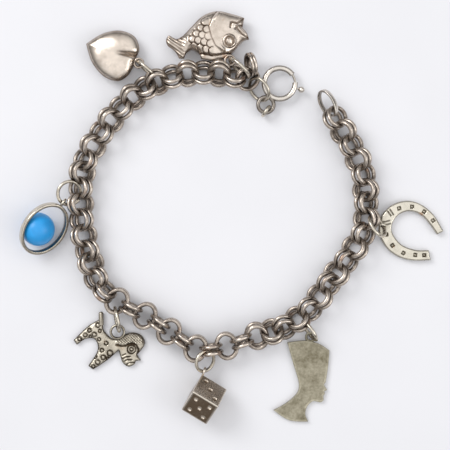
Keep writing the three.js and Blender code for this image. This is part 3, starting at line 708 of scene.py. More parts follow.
def worn_silver(name, bright, brown, copper, shine, tarnish_and_shade, scratch):
    """Sterling silver worn for years. Raised places are rubbed bright, and recesses keep a brown
    sulphide film, with a few copper-coloured spots where the film is thinnest. The brown also paints
    shade between close parts."""
    material, tree = emptied(bpy.data.materials.new(name))
    spots = add(tree, "ShaderNodeTexCoord").outputs["Object"]
    # Occlusion lays the brown in hollows, as real sulphide, and also paints shade between links and
    # where a part nears the table.
    recess = add(tree, "ShaderNodeAmbientOcclusion", {"samples": 8}, Distance=0.9 * MM)
    shut = ramp(tree, recess.outputs["AO"], [(0.35, 1.0), (0.95, 0.0)])
    marked = add(tree, "ShaderNodeAttribute", {"attribute_name": "tarnish_and_shade"}).outputs["Fac"]
    clouds = ramp(tree, noise_at(tree, spots, 2.4, 4.0), [(0.42, 0.0), (0.68, 1.0)])
    grains = ramp(tree, noise_at(tree, spots, 0.5, 3.0), [(0.35, 0.0), (0.75, 1.0)])
    film_and_shade = sum_of(tree, "MAXIMUM", sum_of(tree, "MULTIPLY", shut, tarnish_and_shade[0]),
                  sum_of(tree, "MULTIPLY", marked, tarnish_and_shade[1]))
    film_and_shade = sum_of(tree, "ADD", film_and_shade, sum_of(tree, "MULTIPLY", clouds, tarnish_and_shade[2]))
    film_and_shade = sum_of(tree, "ADD", film_and_shade, sum_of(tree, "MULTIPLY", grains, tarnish_and_shade[3]))
    colour = mixed(tree, film_and_shade, linear(bright), linear(brown))
    blush = ramp(tree, noise_at(tree, spots, 3.3, 2.0), [(0.64, 0.0), (0.74, 1.0)])
    colour = mixed(tree, sum_of(tree, "MULTIPLY", blush, copper[1]), colour, linear(copper[0]))
    rough = add(tree, "ShaderNodeMapRange", i0=film_and_shade, i3=shine[0], i4=shine[1]).outputs[0]
    # Fine wear scratches are really microns wide, and are drawn 0.1 mm wide so that they show.
    lines = noise_at(tree, spots, 0.5, 2.0, ((1.0, 7.0, 1.0), (0, 0, 0.6)))
    bump = add(tree, "ShaderNodeBump", Height=lines, Strength=1.0, Distance=scratch * MM)
    shader = add(tree, "ShaderNodeBsdfPrincipled", Base_Color=colour, Roughness=rough, Metallic=1.0,
                 Normal=bump.outputs[0])
    add(tree, "ShaderNodeOutputMaterial", Surface=shader.outputs[0])
    return material


def glazed_blue(name, colour, deep):
    """Blue ceramic glass: an even body colour under a soft gloss, a little darker in patches."""
    material, tree = emptied(bpy.data.materials.new(name))
    spots = add(tree, "ShaderNodeTexCoord").outputs["Object"]
    clouds = ramp(tree, noise_at(tree, spots, 2.6, 3.0), [(0.4, 0.0), (0.7, 1.0)])
    flecks = ramp(tree, noise_at(tree, spots, 0.25, 2.0), [(0.7, 0.0), (0.8, 1.0)])
    body = mixed(tree, sum_of(tree, "MULTIPLY", clouds, 0.35), colour, deep)
    body = mixed(tree, sum_of(tree, "MULTIPLY", flecks, 0.3), body, deep)
    rough = add(tree, "ShaderNodeMapRange", i0=clouds, i3=0.3, i4=0.42).outputs[0]
    bump = add(tree, "ShaderNodeBump", Height=noise_at(tree, spots, 0.6, 2.0), Strength=1.0,
               Distance=0.01 * MM)
    shader = add(tree, "ShaderNodeBsdfPrincipled", Base_Color=body, Roughness=rough, IOR=1.5,
                 Normal=bump.outputs[0])
    add(tree, "ShaderNodeOutputMaterial", Surface=shader.outputs[0])
    return material


def white_card(name, colour):
    """Smooth white card, faintly mottled."""
    material, tree = emptied(bpy.data.materials.new(name))
    spots = add(tree, "ShaderNodeTexCoord").outputs["Object"]
    cloud = ramp(tree, noise_at(tree, spots, 30, 2.0), [(0.3, 0.97), (0.7, 1.0)])
    tone = add(tree, "ShaderNodeMix", {"data_type": "RGBA", "blend_type": "MULTIPLY"}, i0=1.0, i6=colour,
               i7=cloud).outputs[2]
    shader = add(tree, "ShaderNodeBsdfPrincipled", Base_Color=tone, Roughness=0.75)
    add(tree, "ShaderNodeOutputMaterial", Surface=shader.outputs[0])
    return material


# Each silver finish: bright colour, colour of its film and painted shade, copper spots and their
# strength, roughness where clean and where filmed, and how much film and painted shade occluded
# recesses, marks, clouds and grains carry.
SILVERS = {
    "Worn silver wire": (
        "#D6CABE", "#38291F", ("#8A5A38", 0.5), (0.16, 0.4), (0.9, 0.55, 0.32, 0.25)),
    "Bright jump ring silver": (
        "#D8D0C2", "#4A3D2F", ("#8A6A48", 0.3), (0.18, 0.36), (0.6, 0.45, 0.2, 0.1)),
    "Polished clasp silver": (
        "#DED7CE", "#463A30", ("#9A7A58", 0.2), (0.13, 0.3), (0.6, 0.7, 0.15, 0.1)),
    "Polished charm silver": (
        "#E0D4C8", "#57422F", ("#B07E50", 0.55), (0.17, 0.36), (0.5, 0.9, 0.28, 0.08)),
    "Struck charm silver": (
        "#D2CABA", "#3E3428", ("#8A6A48", 0.35), (0.22, 0.42), (0.6, 0.9, 0.3, 0.2)),
    "Polished horseshoe silver": (
        "#DCD6C8", "#4A4031", ("#C08A5A", 0.6), (0.16, 0.36), (0.5, 0.9, 0.2, 0.05)),
    "Tarnished and shaded die silver": (
        "#D9D0C4", "#7C6B59", ("#8A6A48", 0.3), (0.24, 0.4), (0.3, 0.95, 0.1, 0.2)),
    "Frosted silver": (
        "#B4AE9C", "#77705C", ("#8A8266", 0.3), (0.42, 0.55), (0.3, 0.55, 0.45, 0.4)),
}


def silver(name):
    """A silver finish, made once."""
    bright, brown, copper, shine, tarnish_and_shade = SILVERS[name]
    scratch = 0.05 if name.startswith("Frosted") else 0.02
    return (bpy.data.materials.get(name)
            or worn_silver(name, bright, brown, copper, shine, tarnish_and_shade, scratch))


# ---- Geometry Nodes: rings on places ---------------------------------------------------------
RINGS_TREE = "Rings on places"


def rings_tree():
    """A tree that puts a ring, or a pair of them, on each point of a mesh. Each point's turn is
    its attribute of that name."""
    tree = bpy.data.node_groups.get(RINGS_TREE)
    if tree:
        return tree
    tree = bpy.data.node_groups.new(RINGS_TREE, "GeometryNodeTree")
    face = tree.interface
    face.new_socket("Places", in_out="INPUT", socket_type="NodeSocketGeometry")
    for label in ("Half length", "Half width", "Wire radius", "Spacing"):
        socket = face.new_socket(label, in_out="INPUT", socket_type="NodeSocketFloat")
        socket.subtype = "DISTANCE"
        socket.default_value = MM
    for label, value in (("Rings", 1), ("Steps along", 40), ("Steps around", 10)):
        face.new_socket(label, in_out="INPUT", socket_type="NodeSocketInt").default_value = value
    face.new_socket("Material", in_out="INPUT", socket_type="NodeSocketMaterial")
    face.new_socket("Rings", in_out="OUTPUT", socket_type="NodeSocketGeometry")
    given = add(tree, "NodeGroupInput").outputs
    size = add(tree, "ShaderNodeCombineXYZ", X=given["Half length"], Y=given["Half width"], Z=1.0)
    circle = add(tree, "GeometryNodeCurvePrimitiveCircle", Resolution=given["Steps along"], Radius=1.0)
    oval = add(tree, "GeometryNodeTransform", Geometry=circle.outputs[0], Scale=size.outputs[0])
    wire = add(tree, "GeometryNodeCurvePrimitiveCircle", Resolution=given["Steps around"],
               Radius=given["Wire radius"])
    ring = add(tree, "GeometryNodeCurveToMesh", Curve=oval.outputs[0], Profile_Curve=wire.outputs[0])
    # The inner side of a ring is marked darker, fading to none on its outer side.
    place = add(tree, "GeometryNodeInputPosition").outputs[0]
    flat = add(tree, "ShaderNodeVectorMath", {"operation": "MULTIPLY"}, i0=place, i1=(1, 1, 0))
    out = add(tree, "ShaderNodeVectorMath", {"operation": "LENGTH"}, i0=flat.outputs[0])
    low = add(tree, "ShaderNodeMath", {"operation": "SUBTRACT"}, i0=given["Half length"],
              i1=given["Wire radius"])
    high = add(tree, "ShaderNodeMath", {"operation": "ADD"}, i0=given["Half width"],
               i1=given["Wire radius"])
    inner = add(tree, "ShaderNodeMapRange", i0=out.outputs["Value"], i1=low.outputs[0],
                i2=high.outputs[0], i3=1.0, i4=0.0)
    marked = add(tree, "GeometryNodeStoreNamedAttribute", {"data_type": "FLOAT", "domain": "POINT"},
                 Geometry=ring.outputs[0], Name="tarnish_and_shade", Value=inner.outputs[0])
    gaps = add(tree, "ShaderNodeMath", {"operation": "SUBTRACT"}, i0=given["Rings"], i1=1.0)
    span = add(tree, "ShaderNodeMath", {"operation": "MULTIPLY"}, i0=gaps.outputs[0],
               i1=given["Spacing"])
    back = add(tree, "ShaderNodeMath", {"operation": "MULTIPLY"}, i0=span.outputs[0], i1=-0.5)
    first = add(tree, "ShaderNodeCombineXYZ", X=0.0, Y=0.0, Z=back.outputs[0])
    step = add(tree, "ShaderNodeCombineXYZ", X=0.0, Y=0.0, Z=given["Spacing"])
    stack = add(tree, "GeometryNodeMeshLine", Count=given["Rings"])
    tree.links.new(first.outputs[0], stack.inputs["Start Location"])
    tree.links.new(step.outputs[0], stack.inputs["Offset"])
    pair = add(tree, "GeometryNodeInstanceOnPoints", Points=stack.outputs[0], Instance=marked.outputs[0])
    turn = add(tree, "GeometryNodeInputNamedAttribute", {"data_type": "FLOAT_VECTOR"}, Name="turn")
    turned = add(tree, "FunctionNodeEulerToRotation", i0=turn.outputs[0])
    links = add(tree, "GeometryNodeInstanceOnPoints", Points=given["Places"], Instance=pair.outputs[0],
                Rotation=turned.outputs[0])
    solid = add(tree, "GeometryNodeRealizeInstances", Geometry=links.outputs[0])
    smooth = add(tree, "GeometryNodeSetShadeSmooth", Geometry=solid.outputs[0])
    finished = add(tree, "GeometryNodeSetMaterial", Geometry=smooth.outputs[0],
                   Material=given["Material"])
    add(tree, "NodeGroupOutput", i0=finished.outputs[0])
    return tree


def rings_piece(name, matrices, half, wire, rings, spacing, finish, steps, nodes):
    """Makes one piece of rings at these places, by Geometry Nodes, and claims its CAD nodes."""
    mesh = bpy.data.meshes.new(name + "_places")
    mesh.from_pydata(metres([m.to_translation() for m in matrices]).tolist(), [], [])
    turns = mesh.attributes.new("turn", "FLOAT_VECTOR", "POINT")
    turns.data.foreach_set("vector", [a for m in matrices for a in m.to_euler("XYZ")])
    maker = bpy.data.objects.new(name + "_maker", mesh)
    bpy.context.scene.collection.objects.link(maker)
    tree = rings_tree()
    modifier = maker.modifiers.new("Rings", "NODES")
    modifier.node_group = tree
    values = {"Half length": half[0] * MM, "Half width": half[1] * MM, "Wire radius": wire / 2,
              "Spacing": spacing * MM, "Rings": rings, "Steps along": steps[0],
              "Steps around": steps[1], "Material": silver(finish)}
    for item in tree.interface.items_tree:
        if item.in_out == "INPUT" and item.name in values:
            modifier[item.identifier] = values[item.name]
    bpy.context.view_layer.update()
    made = maker.evaluated_get(bpy.context.evaluated_depsgraph_get())
    result = bpy.data.meshes.new_from_object(made)
    bpy.data.objects.remove(maker)
    piece = bpy.data.objects.new(name, result)
    bpy.context.scene.collection.objects.link(piece)
    claim(piece, nodes, "bracelet")
    return piece


def chain_route():
    """Closely spaced places along the middle of the chain, and how far along each one is."""
    way = [np.array(p) for p in CHAIN_ROUTE]
    way = [2 * way[0] - way[1]] + way + [2 * way[-1] - way[-2]]
    points = []
    for before, here, there, after in zip(way, way[1:], way[2:], way[3:]):
        gaps = [math.sqrt(np.linalg.norm(b - a))
                for a, b in ((before, here), (here, there), (there, after))]
        leave = ((here - before) / gaps[0] - (there - before) / (gaps[0] + gaps[1])
                 + (there - here) / gaps[1]) * gaps[1]
        arrive = ((there - here) / gaps[1] - (after - here) / (gaps[1] + gaps[2])
                  + (after - there) / gaps[2]) * gaps[1]
        for t in np.linspace(0, 1, 80, endpoint=False):
            points.append(here + leave * t + (3 * (there - here) - 2 * leave - arrive) * t * t
                          + (2 * (here - there) + leave + arrive) * t ** 3)
    points = np.array(points + [way[-2]])
    lengths = np.concatenate([[0], np.cumsum(np.linalg.norm(np.diff(points, axis=0), axis=1))])
    return points, lengths


def link_places():
    """Where each double link lies. Odd links have their side towards the bracelet's middle up."""
    points, lengths = chain_route()
    total = lengths[-1]
    pitch = (total + SLACK * (len(STRETCH_LINKS) - 1)) / (LINK_COUNT - 1)
    ends = set(np.cumsum(STRETCH_LINKS))
    places, along = [], 0.0
    for number in range(1, LINK_COUNT + 1):
        reached = min(along, total)
        at, ahead, behind = [
            [np.interp(far, lengths, points[:, axis]) for axis in (0, 1)]
            for far in (reached, min(along + 0.05, total), max(reached - 0.05, 0))]
        tangent = Vector((ahead[0] - behind[0], ahead[1] - behind[1], 0)).normalized()
        outward = Vector((0, 0, 1)).cross(tangent)
        twist = float(smooth_step(TWIST["starts"], TWIST["full"], number)
                      - smooth_step(TWIST["ends"], TWIST["gone"], number))
        lean = math.radians((-LEAN if number % 2 else LEAN) + ROLL * twist)
        across = outward * math.cos(lean) + Vector((0, 0, 1)) * math.sin(lean)
        axis = tangent.cross(across)
        height = HEIGHT_LEANING + (HEIGHT_TWISTED - HEIGHT_LEANING) * twist
        turn = Matrix((tangent, across, axis)).transposed().to_4x4()
        places.append(Matrix.Translation((at[0], at[1], height)) @ turn)
        along += pitch - (SLACK if number in ends else 0)
    return places


# ---- Properties ------------------------------------------------------------------------------
class CharmBraceletProperties(bpy.types.PropertyGroup):
    """Sizes and colours of the bracelet."""

    chain_wire: FloatProperty(name="Chain wire", description="Diameter of the chain's wire",
                              default=0.9 * MM, min=0.5 * MM, max=1.2 * MM, unit="LENGTH")
    ring_wire: FloatProperty(name="Jump ring wire", description="Diameter of the jump rings' wire",
                             default=0.74 * MM, min=0.3 * MM, max=0.9 * MM, unit="LENGTH")
    loose_wire: FloatProperty(name="Loose link wire", description="Diameter of the loose links' wire",
                              default=0.72 * MM, min=0.5 * MM, max=1.0 * MM, unit="LENGTH")
    bead_colour: FloatVectorProperty(name="Bead", description="Colour of the bead", subtype="COLOR",
                                     size=4, min=0, max=1, default=linear("#2C9FE6"))
    bead_deep: FloatVectorProperty(name="Bead patches", description="Darker patches in the bead",
                                   subtype="COLOR", size=4, min=0, max=1, default=linear("#1674B8"))
    table_colour: FloatVectorProperty(name="Table", description="Colour of the table", subtype="COLOR",
                                      size=4, min=0, max=1, default=linear("#E1E1E5"))


# ---- Operators -------------------------------------------------------------------------------
class MakeChain(bpy.types.Operator):
    """Make the eight stretches of double-link chain"""

    bl_idname = "bracelet.make_chain"
    bl_label = "Chain"

    def execute(self, context):
        places = link_places()
        first = 0
        for number, links in enumerate(STRETCH_LINKS, 1):
            rings_piece(f"chain_links_{number}", places[first:first + links], LINK_HALF,
                        looks().chain_wire, 2, LINK_SPACING, "Worn silver wire", LINK_STEPS,
                        [f"chain_{number}"])
            first += links
        return {"FINISHED"}


class MakeJumpRings(bpy.types.Operator):
    """Make the jump rings and the two loose double links"""

    bl_idname = "bracelet.make_jump_rings"
    bl_label = "Jump rings"

    def execute(self, context):
        wire = looks().ring_wire
        for name, x, y, z, radius, stands, runs in JUMP_RINGS:
            # The full wire is thicker than the CAD's, so a ring that rests on the table rises a little.
            resting = radius * math.sin(math.radians(stands)) + wire / MM / 2
            rings_piece(f"{name}_wire", [standing((x, y, max(z, resting)), stands, runs)],
                        (radius, radius), wire, 1, 0.0, "Bright jump ring silver", RING_STEPS, [name])
        for name, x, y, z, radius, stands, runs in LOOSE_LINKS:
            rings_piece(f"{name}_wire", [standing((x, y, z), stands, runs)], (radius, radius),
                        looks().loose_wire, 2, LOOSE_SPACING, "Worn silver wire", RING_STEPS, [name])
        return {"FINISHED"}


class MakeClasp(bpy.types.Operator):
    """Make the bolt ring clasp: its hollow ring with a soldered loop, and its spring bolt"""

    bl_idname = "bracelet.make_clasp"
    bl_label = "Clasp"

    def execute(self, context):
        finish = silver("Polished clasp silver")
        at = Matrix.Translation(CLASP_AT)
        ring = hollow_clasp_ring()
        turn = math.radians(CLASP_LOOP["angle"])
        loop = swept_ring((CLASP_LOOP["radius"],) * 2, round_section(CLASP_LOOP["wire"]), 40)
        reach = CLASP_LOOP["reach"]
        loop = loop.placed(Matrix.Translation((reach * math.cos(turn), reach * math.sin(turn), 0)))
        loop = out_of_bore(loop)
        loop.tarnish_and_shade = np.full(len(loop.vertices), LOOP_TARNISH)
        make_piece("clasp_ring_body", (ring + loop).placed(at), finish, ["clasp_ring"])
        wire = swept_ring((CLASP_RADIUS,) * 2, round_section(BOLT_WIRE, 12), 40, *BOLT_SPAN)
        way = math.radians(KNOB_ANGLE)
        out = CLASP_RADIUS + KNOB_OUT
        knob = ball((out * math.cos(way), out * math.sin(way), 0), KNOB_RADIUS)
        lug = turned_pin((CLASP_RADIUS * math.cos(way), CLASP_RADIUS * math.sin(way), 0),
                         (out * math.cos(way), out * math.sin(way), 0),
                         [(0.0, LUG_RADIUS), (0.35, LUG_RADIUS), (0.6, LUG_RADIUS * 1.5)])
        make_piece("clasp_bolt_wire", (wire + knob + lug).placed(at), finish, ["clasp_bolt"],
                   "bolt")
        return {"FINISHED"}


def out_of_bore(shape):
    """The shape with its foot pushed out of the clasp's bore, into the wall of the tube."""
    level = shape.vertices * (1, 1, 0)
    middle = level * (CLASP_RADIUS / np.linalg.norm(level, axis=1))[:, None]
    away = shape.vertices - middle
    wall = (CLASP_TUBE + CLASP_BORE) / 2
    push = np.maximum(wall / np.linalg.norm(away, axis=1), 1)
    return Shape(middle + away * push[:, None], shape.faces, shape.tarnish_and_shade)


def hollow_clasp_ring():
    """The clasp's tube: an outer and an inner skin, joined at the mouth and round the slot."""
    steps, sides = 120, 24
    angles = np.linspace(*CLASP_MOUTH, steps + 1)
    turns = np.radians(angles)
    section = round_section(1.0, sides)
    skins = []
    for radius in (CLASP_TUBE, CLASP_BORE):
        out = CLASP_RADIUS + radius * section[None, :, 0] * np.ones((steps + 1, 1))
        up = radius * section[None, :, 1] * np.ones((steps + 1, 1))
        skins.append(np.stack([out * np.cos(turns)[:, None], out * np.sin(turns)[:, None], up], 2))
    vertices = np.concatenate([skin.reshape(-1, 3) for skin in skins])
    inner = (steps + 1) * sides
    low, high = TRIGGER_SLOT[0] + 360, TRIGGER_SLOT[1] + 360

    def cut(i, j):
        """Whether the cell after this corner falls in the slot."""
        if not 0 <= i < steps:
            return True
        angle = (angles[i] + angles[i + 1]) / 2
        side = (j + 0.5) * 360 / sides
        height = CLASP_TUBE * math.sin(math.radians(side))
        return low < angle < high and abs(height) < SLOT_HALF_HEIGHT and (side < 90 or side > 270)

    faces = []
    for i in range(steps):
        for j in range(sides):
            if cut(i, j):
                continue
            after = (j + 1) % sides
            a, b, c, d = (i * sides + j, i * sides + after, (i + 1) * sides + after, (i + 1) * sides + j)
            faces.append((d, c, b, a))
            faces.append((a + inner, b + inner, c + inner, d + inner))
            for gone, (p, q) in ((cut(i - 1, j), (a, b)), (cut(i + 1, j), (c, d)),
                                 (cut(i, j - 1), (d, a)), (cut(i, after), (b, c))):
                if gone:
                    faces.append((p, q, q + inner, p + inner))
    # Painted shade darkens the tube's sides where they face level, inside and out, so that it shows a
    # dark outline from above; the inner skin of the bore is marked fully dark.
    painted_side_shade = np.tile(np.abs(section[:, 0]) ** 3, steps + 1)
    return Shape(vertices, faces, np.concatenate([painted_side_shade, np.ones(inner)]))


class MakeEndLoop(bpy.types.Operator):
    """Make the flat oval loop that the clasp hooks into"""

    bl_idname = "bracelet.make_end_loop"
    bl_label = "End loop"

    def execute(self, context):
        half = [size - END_LOOP["strip"] / 2 for size in END_LOOP["half"]]
        section = strip_section(END_LOOP["strip"], END_LOOP["width"], 0.15)
        band = swept_ring(half, section, 72)
        band = band.placed(standing(END_LOOP["at"], END_LOOP["stands"], END_LOOP["runs"]))
        make_piece("end_loop_band", band, silver("Polished clasp silver"), ["end_loop"])
        return {"FINISHED"}


class MakeHeart(bpy.types.Operator):
    """Make the puffed heart charm"""

    bl_idname = "bracelet.make_heart"
    bl_label = "Heart"

    def execute(self, context):
        lug = bail_ring(HEART_LUG, 0, 0)
        make_piece("heart_charm", relief(HEART_OUTLINE, heart_levels, 0.17) + lug,
                   silver("Polished charm silver"), ["heart"])
        return {"FINISHED"}


class MakeFish(bpy.types.Operator):
    """Make the puffed fish charm"""

    bl_idname = "bracelet.make_fish"
    bl_label = "Fish"

    def execute(self, context):
        bail = bail_ring(FISH_BAIL, 0, 0)
        make_piece("fish_charm", relief(FISH_OUTLINE, fish_levels, 0.12) + bail,
                   silver("Polished charm silver"), ["fish"])
        return {"FINISHED"}


class MakeHorseshoe(bpy.types.Operator):
    """Make the horseshoe charm"""

    bl_idname = "bracelet.make_horseshoe"
    bl_label = "Horseshoe"

    def execute(self, context):
        bail = bail_ring(HORSESHOE_BAIL, 90, HORSESHOE_BAIL["runs"])
        make_piece("horseshoe_charm", relief(HORSESHOE_OUTLINE, horseshoe_levels, 0.11) + bail,
                   silver("Polished horseshoe silver"), ["horseshoe"])
        return {"FINISHED"}


class MakeBust(bpy.types.Operator):
    """Make the flat bust charm"""

    bl_idname = "bracelet.make_bust"
    bl_label = "Bust"

    def execute(self, context):
        bail = bail_ring(BUST_BAIL, BUST_BAIL["tilt"], 0)
        make_piece("bust_charm", relief(BUST_OUTLINE, bust_levels, 0.15) + bail,
                   silver("Frosted silver"), ["bust"], crease=30)
        return {"FINISHED"}


class MakeDie(bpy.types.Operator):
    """Make the die charm, which stands on an edge"""

    bl_idname = "bracelet.make_die"
    bl_label = "Die"

    def execute(self, context):
        edge = DIE["edge"]
        tilt, along = math.radians(DIE["tilt"]), math.radians(DIE["runs"])
        ahead = edge / 2 * (math.cos(tilt) - math.sin(tilt))
        height = edge / 2 * (math.cos(tilt) + math.sin(tilt))
        at = (DIE["x"] + ahead * math.sin(along), DIE["y"] - ahead * math.cos(along), height)
        cube = pipped_cube(edge).placed(standing(at, DIE["tilt"], DIE["runs"]))
        bail = bail_ring(DIE_BAIL, 90, DIE_BAIL["runs"])
        make_piece("die_charm", cube + bail, silver("Tarnished and shaded die silver"), ["die"])
        return {"FINISHED"}


# Each face of the die: its outward direction, one direction across it, its number of pips, and how dark
# its flat and its pips are marked, which is partly tarnish and partly painted shade that makes one face
# darker than another.
DIE_FACES = [
    ((0, 0, 1), (1, 0, 0), 5, 0.95, 0.1), ((0, 0, -1), (1, 0, 0), 2, 0.8, 0.3),
    ((0, 1, 0), (1, 0, 0), 3, 0.05, 0.8), ((0, -1, 0), (1, 0, 0), 4, 0.7, 0.3),
    ((1, 0, 0), (0, 1, 0), 6, 0.4, 0.6), ((-1, 0, 0), (0, 1, 0), 1, 0.4, 0.6),
]
PIP_PLACES = {
    1: [(0, 0)], 2: [(-1, -1), (1, 1)], 3: [(-1, 1), (0, 0), (1, -1)],
    4: [(-1, -1), (-1, 1), (1, -1), (1, 1)], 5: [(-1, -1), (-1, 1), (0, 0), (1, -1), (1, 1)],
    6: [(-1, -1), (-1, 0), (-1, 1), (1, -1), (1, 0), (1, 1)],
}


def pipped_cube(edge, cells=60):
    """A cube with rounded edges and a cupped pip at each place."""
    half = edge / 2
    line = np.linspace(-half, half, cells + 1)
    cube = Shape()
    for outward, right, pips, flat_dark, pip_dark in DIE_FACES:
        normal, right = np.array(outward, float), np.array(right, float)
        up = np.cross(normal, right)
        a, b = [g.ravel() for g in np.meshgrid(line, line, indexing="ij")]
        points = a[:, None] * right + b[:, None] * up + half * normal
        core = np.clip(points, DIE_ROUND - half, half - DIE_ROUND)
        away = points - core
        points = core + away / np.linalg.norm(away, axis=1)[:, None] * DIE_ROUND
        cup = np.zeros(len(points))
        for x, y in PIP_PLACES[pips]:
            near = np.hypot(a - x * PIP_STEP, b - y * PIP_STEP) / PIP_RADIUS
            cup = np.maximum(cup, np.sqrt(np.clip(1 - near * near, 0, 1)))
        points = points - normal * (PIP_DEPTH * cup)[:, None]
        edge_wear = smooth_step(half - 0.5, half - 0.2, np.maximum(np.abs(a), np.abs(b)))
        in_cup = np.clip(cup * 2, 0, 1)
        # Each face's flat and pips take their marked darkness, partly tarnish and partly painted shade,
        # and their edges are rubbed bright.
        tarnish_and_shade = (flat_dark * (1 - in_cup) + pip_dark * in_cup) * (1 - edge_wear)
        wide = cells + 1
        faces = [(i * wide + j, (i + 1) * wide + j, (i + 1) * wide + j + 1, i * wide + j + 1)
                 for i in range(cells) for j in range(cells)]
        cube = cube + Shape(points, faces, tarnish_and_shade)
    return welded(cube)


def welded(shape):
    """The same shape with vertices that lie together made one."""
    keys = np.round(shape.vertices, 5)
    _, first, where = np.unique(keys, axis=0, return_index=True, return_inverse=True)
    where = where.ravel()
    faces = [tuple(int(where[i]) for i in face) for face in shape.faces]
    faces = [face for face in faces if len(set(face)) == len(face)]
    return Shape(shape.vertices[first], faces, shape.tarnish_and_shade[first])


class MakeDog(bpy.types.Operator):
    """Make the poodle charm"""

    bl_idname = "bracelet.make_dog"
    bl_label = "Poodle"

    def execute(self, context):
        level = DOG_THICK / 2 + 0.1
        radius = DOG_TAIL["radius"]
        ends = [(0.0, radius * 0.55), (0.06, radius * 0.85), (0.14, radius), (1.0, radius * 1.05)]
        tail = turned_pin((*DOG_TAIL["from"], level), (*DOG_TAIL["to"], level), ends)
        tail.tarnish_and_shade += 0.35
        bail = bail_ring(DOG_BAIL, 0, 0)
        make_piece("poodle_charm", relief(DOG_OUTLINE, dog_levels, 0.1) + tail + bail,
                   silver("Struck charm silver"), ["dog"])
        return {"FINISHED"}


class MakeBead(bpy.types.Operator):
    """Make the blue bead and the tilted oval band that holds it"""

    bl_idname = "bracelet.make_bead"
    bl_label = "Bead"

    def execute(self, context):
        at = standing(BEAD_FRAME["at"], BEAD_FRAME["tilt"], BEAD_FRAME["runs"])
        half = [size - BEAD_FRAME["band"] / 2 for size in BEAD_FRAME["half"]]
        section = strip_section(BEAD_FRAME["band"], BEAD_FRAME["height"], 0.22)
        band = swept_ring(half, section, 96).placed(at)
        along = math.radians(BEAD_FRAME["runs"])
        reach, middle = BEAD_BAIL["reach"], BEAD_FRAME["at"]
        bail_at = (middle[0] + reach * math.cos(along), middle[1] + reach * math.sin(along), middle[2])
        bail = bail_ring({**BEAD_BAIL, "at": bail_at}, 90, BEAD_FRAME["runs"])
        inside_frame = at.inverted() @ Vector(BEAD_AT)
        turn = math.radians(PIN["angle"])
        way = Vector((math.cos(turn), math.sin(turn), 0))
        start = Vector((inside_frame.x, inside_frame.y, PIN["level"]))
        pin = turned_pin(at @ (start + way * PIN["inside"]), at @ (start + way * PIN["outside"]),
                         [(0.0, PIN["radius"]), (1.0, PIN["radius"])])
        make_piece("bead_band", band + bail + pin, silver("Bright jump ring silver"), ["bead_frame"])
        hole_way = at.to_3x3() @ way
        bead = drilled_ball(BEAD_RADIUS, BEAD_HOLE).placed(
            Matrix.Translation(BEAD_AT) @ hole_way.to_track_quat("Z", "Y").to_matrix().to_4x4())
        make_piece("bead_ball", bead, glazed_blue("Blue glazed bead", looks().bead_colour,
                                                  looks().bead_deep), ["bead"])
        return {"FINISHED"}


def drilled_ball(radius, hole, sides=64, rings=40):
    """A ball with a blind hole along +Z from just past its middle, and a rounded lip."""
    lip = math.asin((hole + 0.08) / radius)
    profile = [(radius * math.sin(math.pi - t), radius * math.cos(math.pi - t))
               for t in np.linspace(0.02, math.pi - lip, rings)]
    profile += [(hole, radius * math.cos(lip) - 0.1), (hole, 0.1)]
    turn = round_section(1.0, sides)
    return turned_solid([np.column_stack([turn * r, np.full(sides, z)]) for r, z in profile], sides)


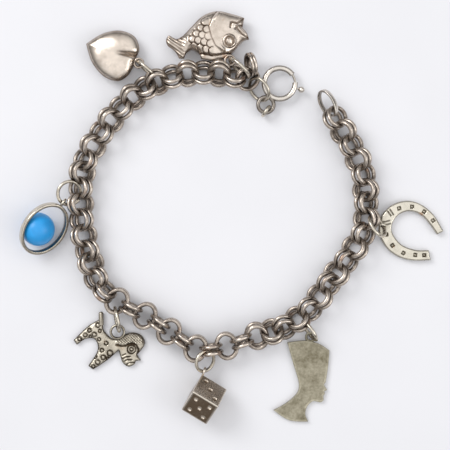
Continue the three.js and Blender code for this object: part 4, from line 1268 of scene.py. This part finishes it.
class MakeStage(bpy.types.Operator):
    """Make the table, the lights and the camera"""

    bl_idname = "bracelet.make_stage"
    bl_label = "Stage"

    def execute(self, context):
        side = TABLE_HALF_M
        mesh = bpy.data.meshes.new("table")
        mesh.from_pydata([(-side, -side, 0), (side, -side, 0), (side, side, 0), (-side, side, 0)], [],
                         [(0, 1, 2, 3)])
        mesh.materials.append(white_card("White card", looks().table_colour))
        table = bpy.data.objects.new("table", mesh)
        context.scene.collection.objects.link(table)
        for name, place, size, power in LIGHTS:
            lamp = bpy.data.lights.new(name, "AREA")
            lamp.shape, lamp.size, lamp.size_y, lamp.energy = "RECTANGLE", *size, power
            holder = bpy.data.objects.new(name, lamp)
            holder.location = place
            holder.rotation_euler = (-Vector(place)).to_track_quat("-Z", "Y").to_euler()
            context.scene.collection.objects.link(holder)
        context.scene.world = studio_world()
        context.scene.view_settings.view_transform = "Standard"
        camera = bpy.data.cameras.new("camera")
        camera.lens, camera.sensor_width = CAMERA_LENS, CAMERA_SENSOR
        camera.clip_start = CAMERA_CLIP_M
        holder = bpy.data.objects.new("camera", camera)
        holder.location = metres([CAMERA_AT])[0]
        context.scene.collection.objects.link(holder)
        context.scene.camera = holder
        return {"FINISHED"}


def studio_world():
    """A soft tent of light, bright overhead and dim towards the floor."""
    world, tree = emptied(bpy.data.worlds.new("Tent"))
    way = add(tree, "ShaderNodeTexCoord").outputs["Generated"]
    parts = add(tree, "ShaderNodeSeparateXYZ", Vector=way)
    tone = ramp(tree, parts.outputs["Z"], TENT_SHADES)
    back = add(tree, "ShaderNodeBackground", Color=tone, Strength=TENT_STRENGTH)
    add(tree, "ShaderNodeOutputWorld", Surface=back.outputs[0])
    return world


# ---- Panel and registration ------------------------------------------------------------------
OPERATORS = [MakeChain, MakeJumpRings, MakeClasp, MakeEndLoop, MakeHeart, MakeFish, MakeHorseshoe,
             MakeBust, MakeDie, MakeDog, MakeBead, MakeStage]


class BraceletPanel(bpy.types.Panel):
    """Lists the bracelet's pieces"""

    bl_idname = "VIEW3D_PT_bracelet"
    bl_label = "Charm bracelet"
    bl_space_type = "VIEW_3D"
    bl_region_type = "UI"
    bl_category = "Bracelet"

    def draw(self, context):
        for name in CharmBraceletProperties.__annotations__:
            self.layout.prop(looks(), name)
        for kind in OPERATORS:
            self.layout.operator(kind.bl_idname)


CLASSES = [CharmBraceletProperties, *OPERATORS, BraceletPanel]


def register():
    """Registers the classes and the properties."""
    for kind in CLASSES:
        bpy.utils.register_class(kind)
    bpy.types.Scene.charm_bracelet = PointerProperty(type=CharmBraceletProperties)


def unregister():
    """Removes the properties and the classes."""
    del bpy.types.Scene.charm_bracelet
    for kind in reversed(CLASSES):
        bpy.utils.unregister_class(kind)


def main():
    """Builds every piece and the stage."""
    register()
    for kind in OPERATORS:
        group, name = kind.bl_idname.split(".")
        if getattr(getattr(bpy.ops, group), name)() != {"FINISHED"}:
            raise RuntimeError(f"{kind.bl_label} wasn't made")


if __name__ == "__main__":
    main()
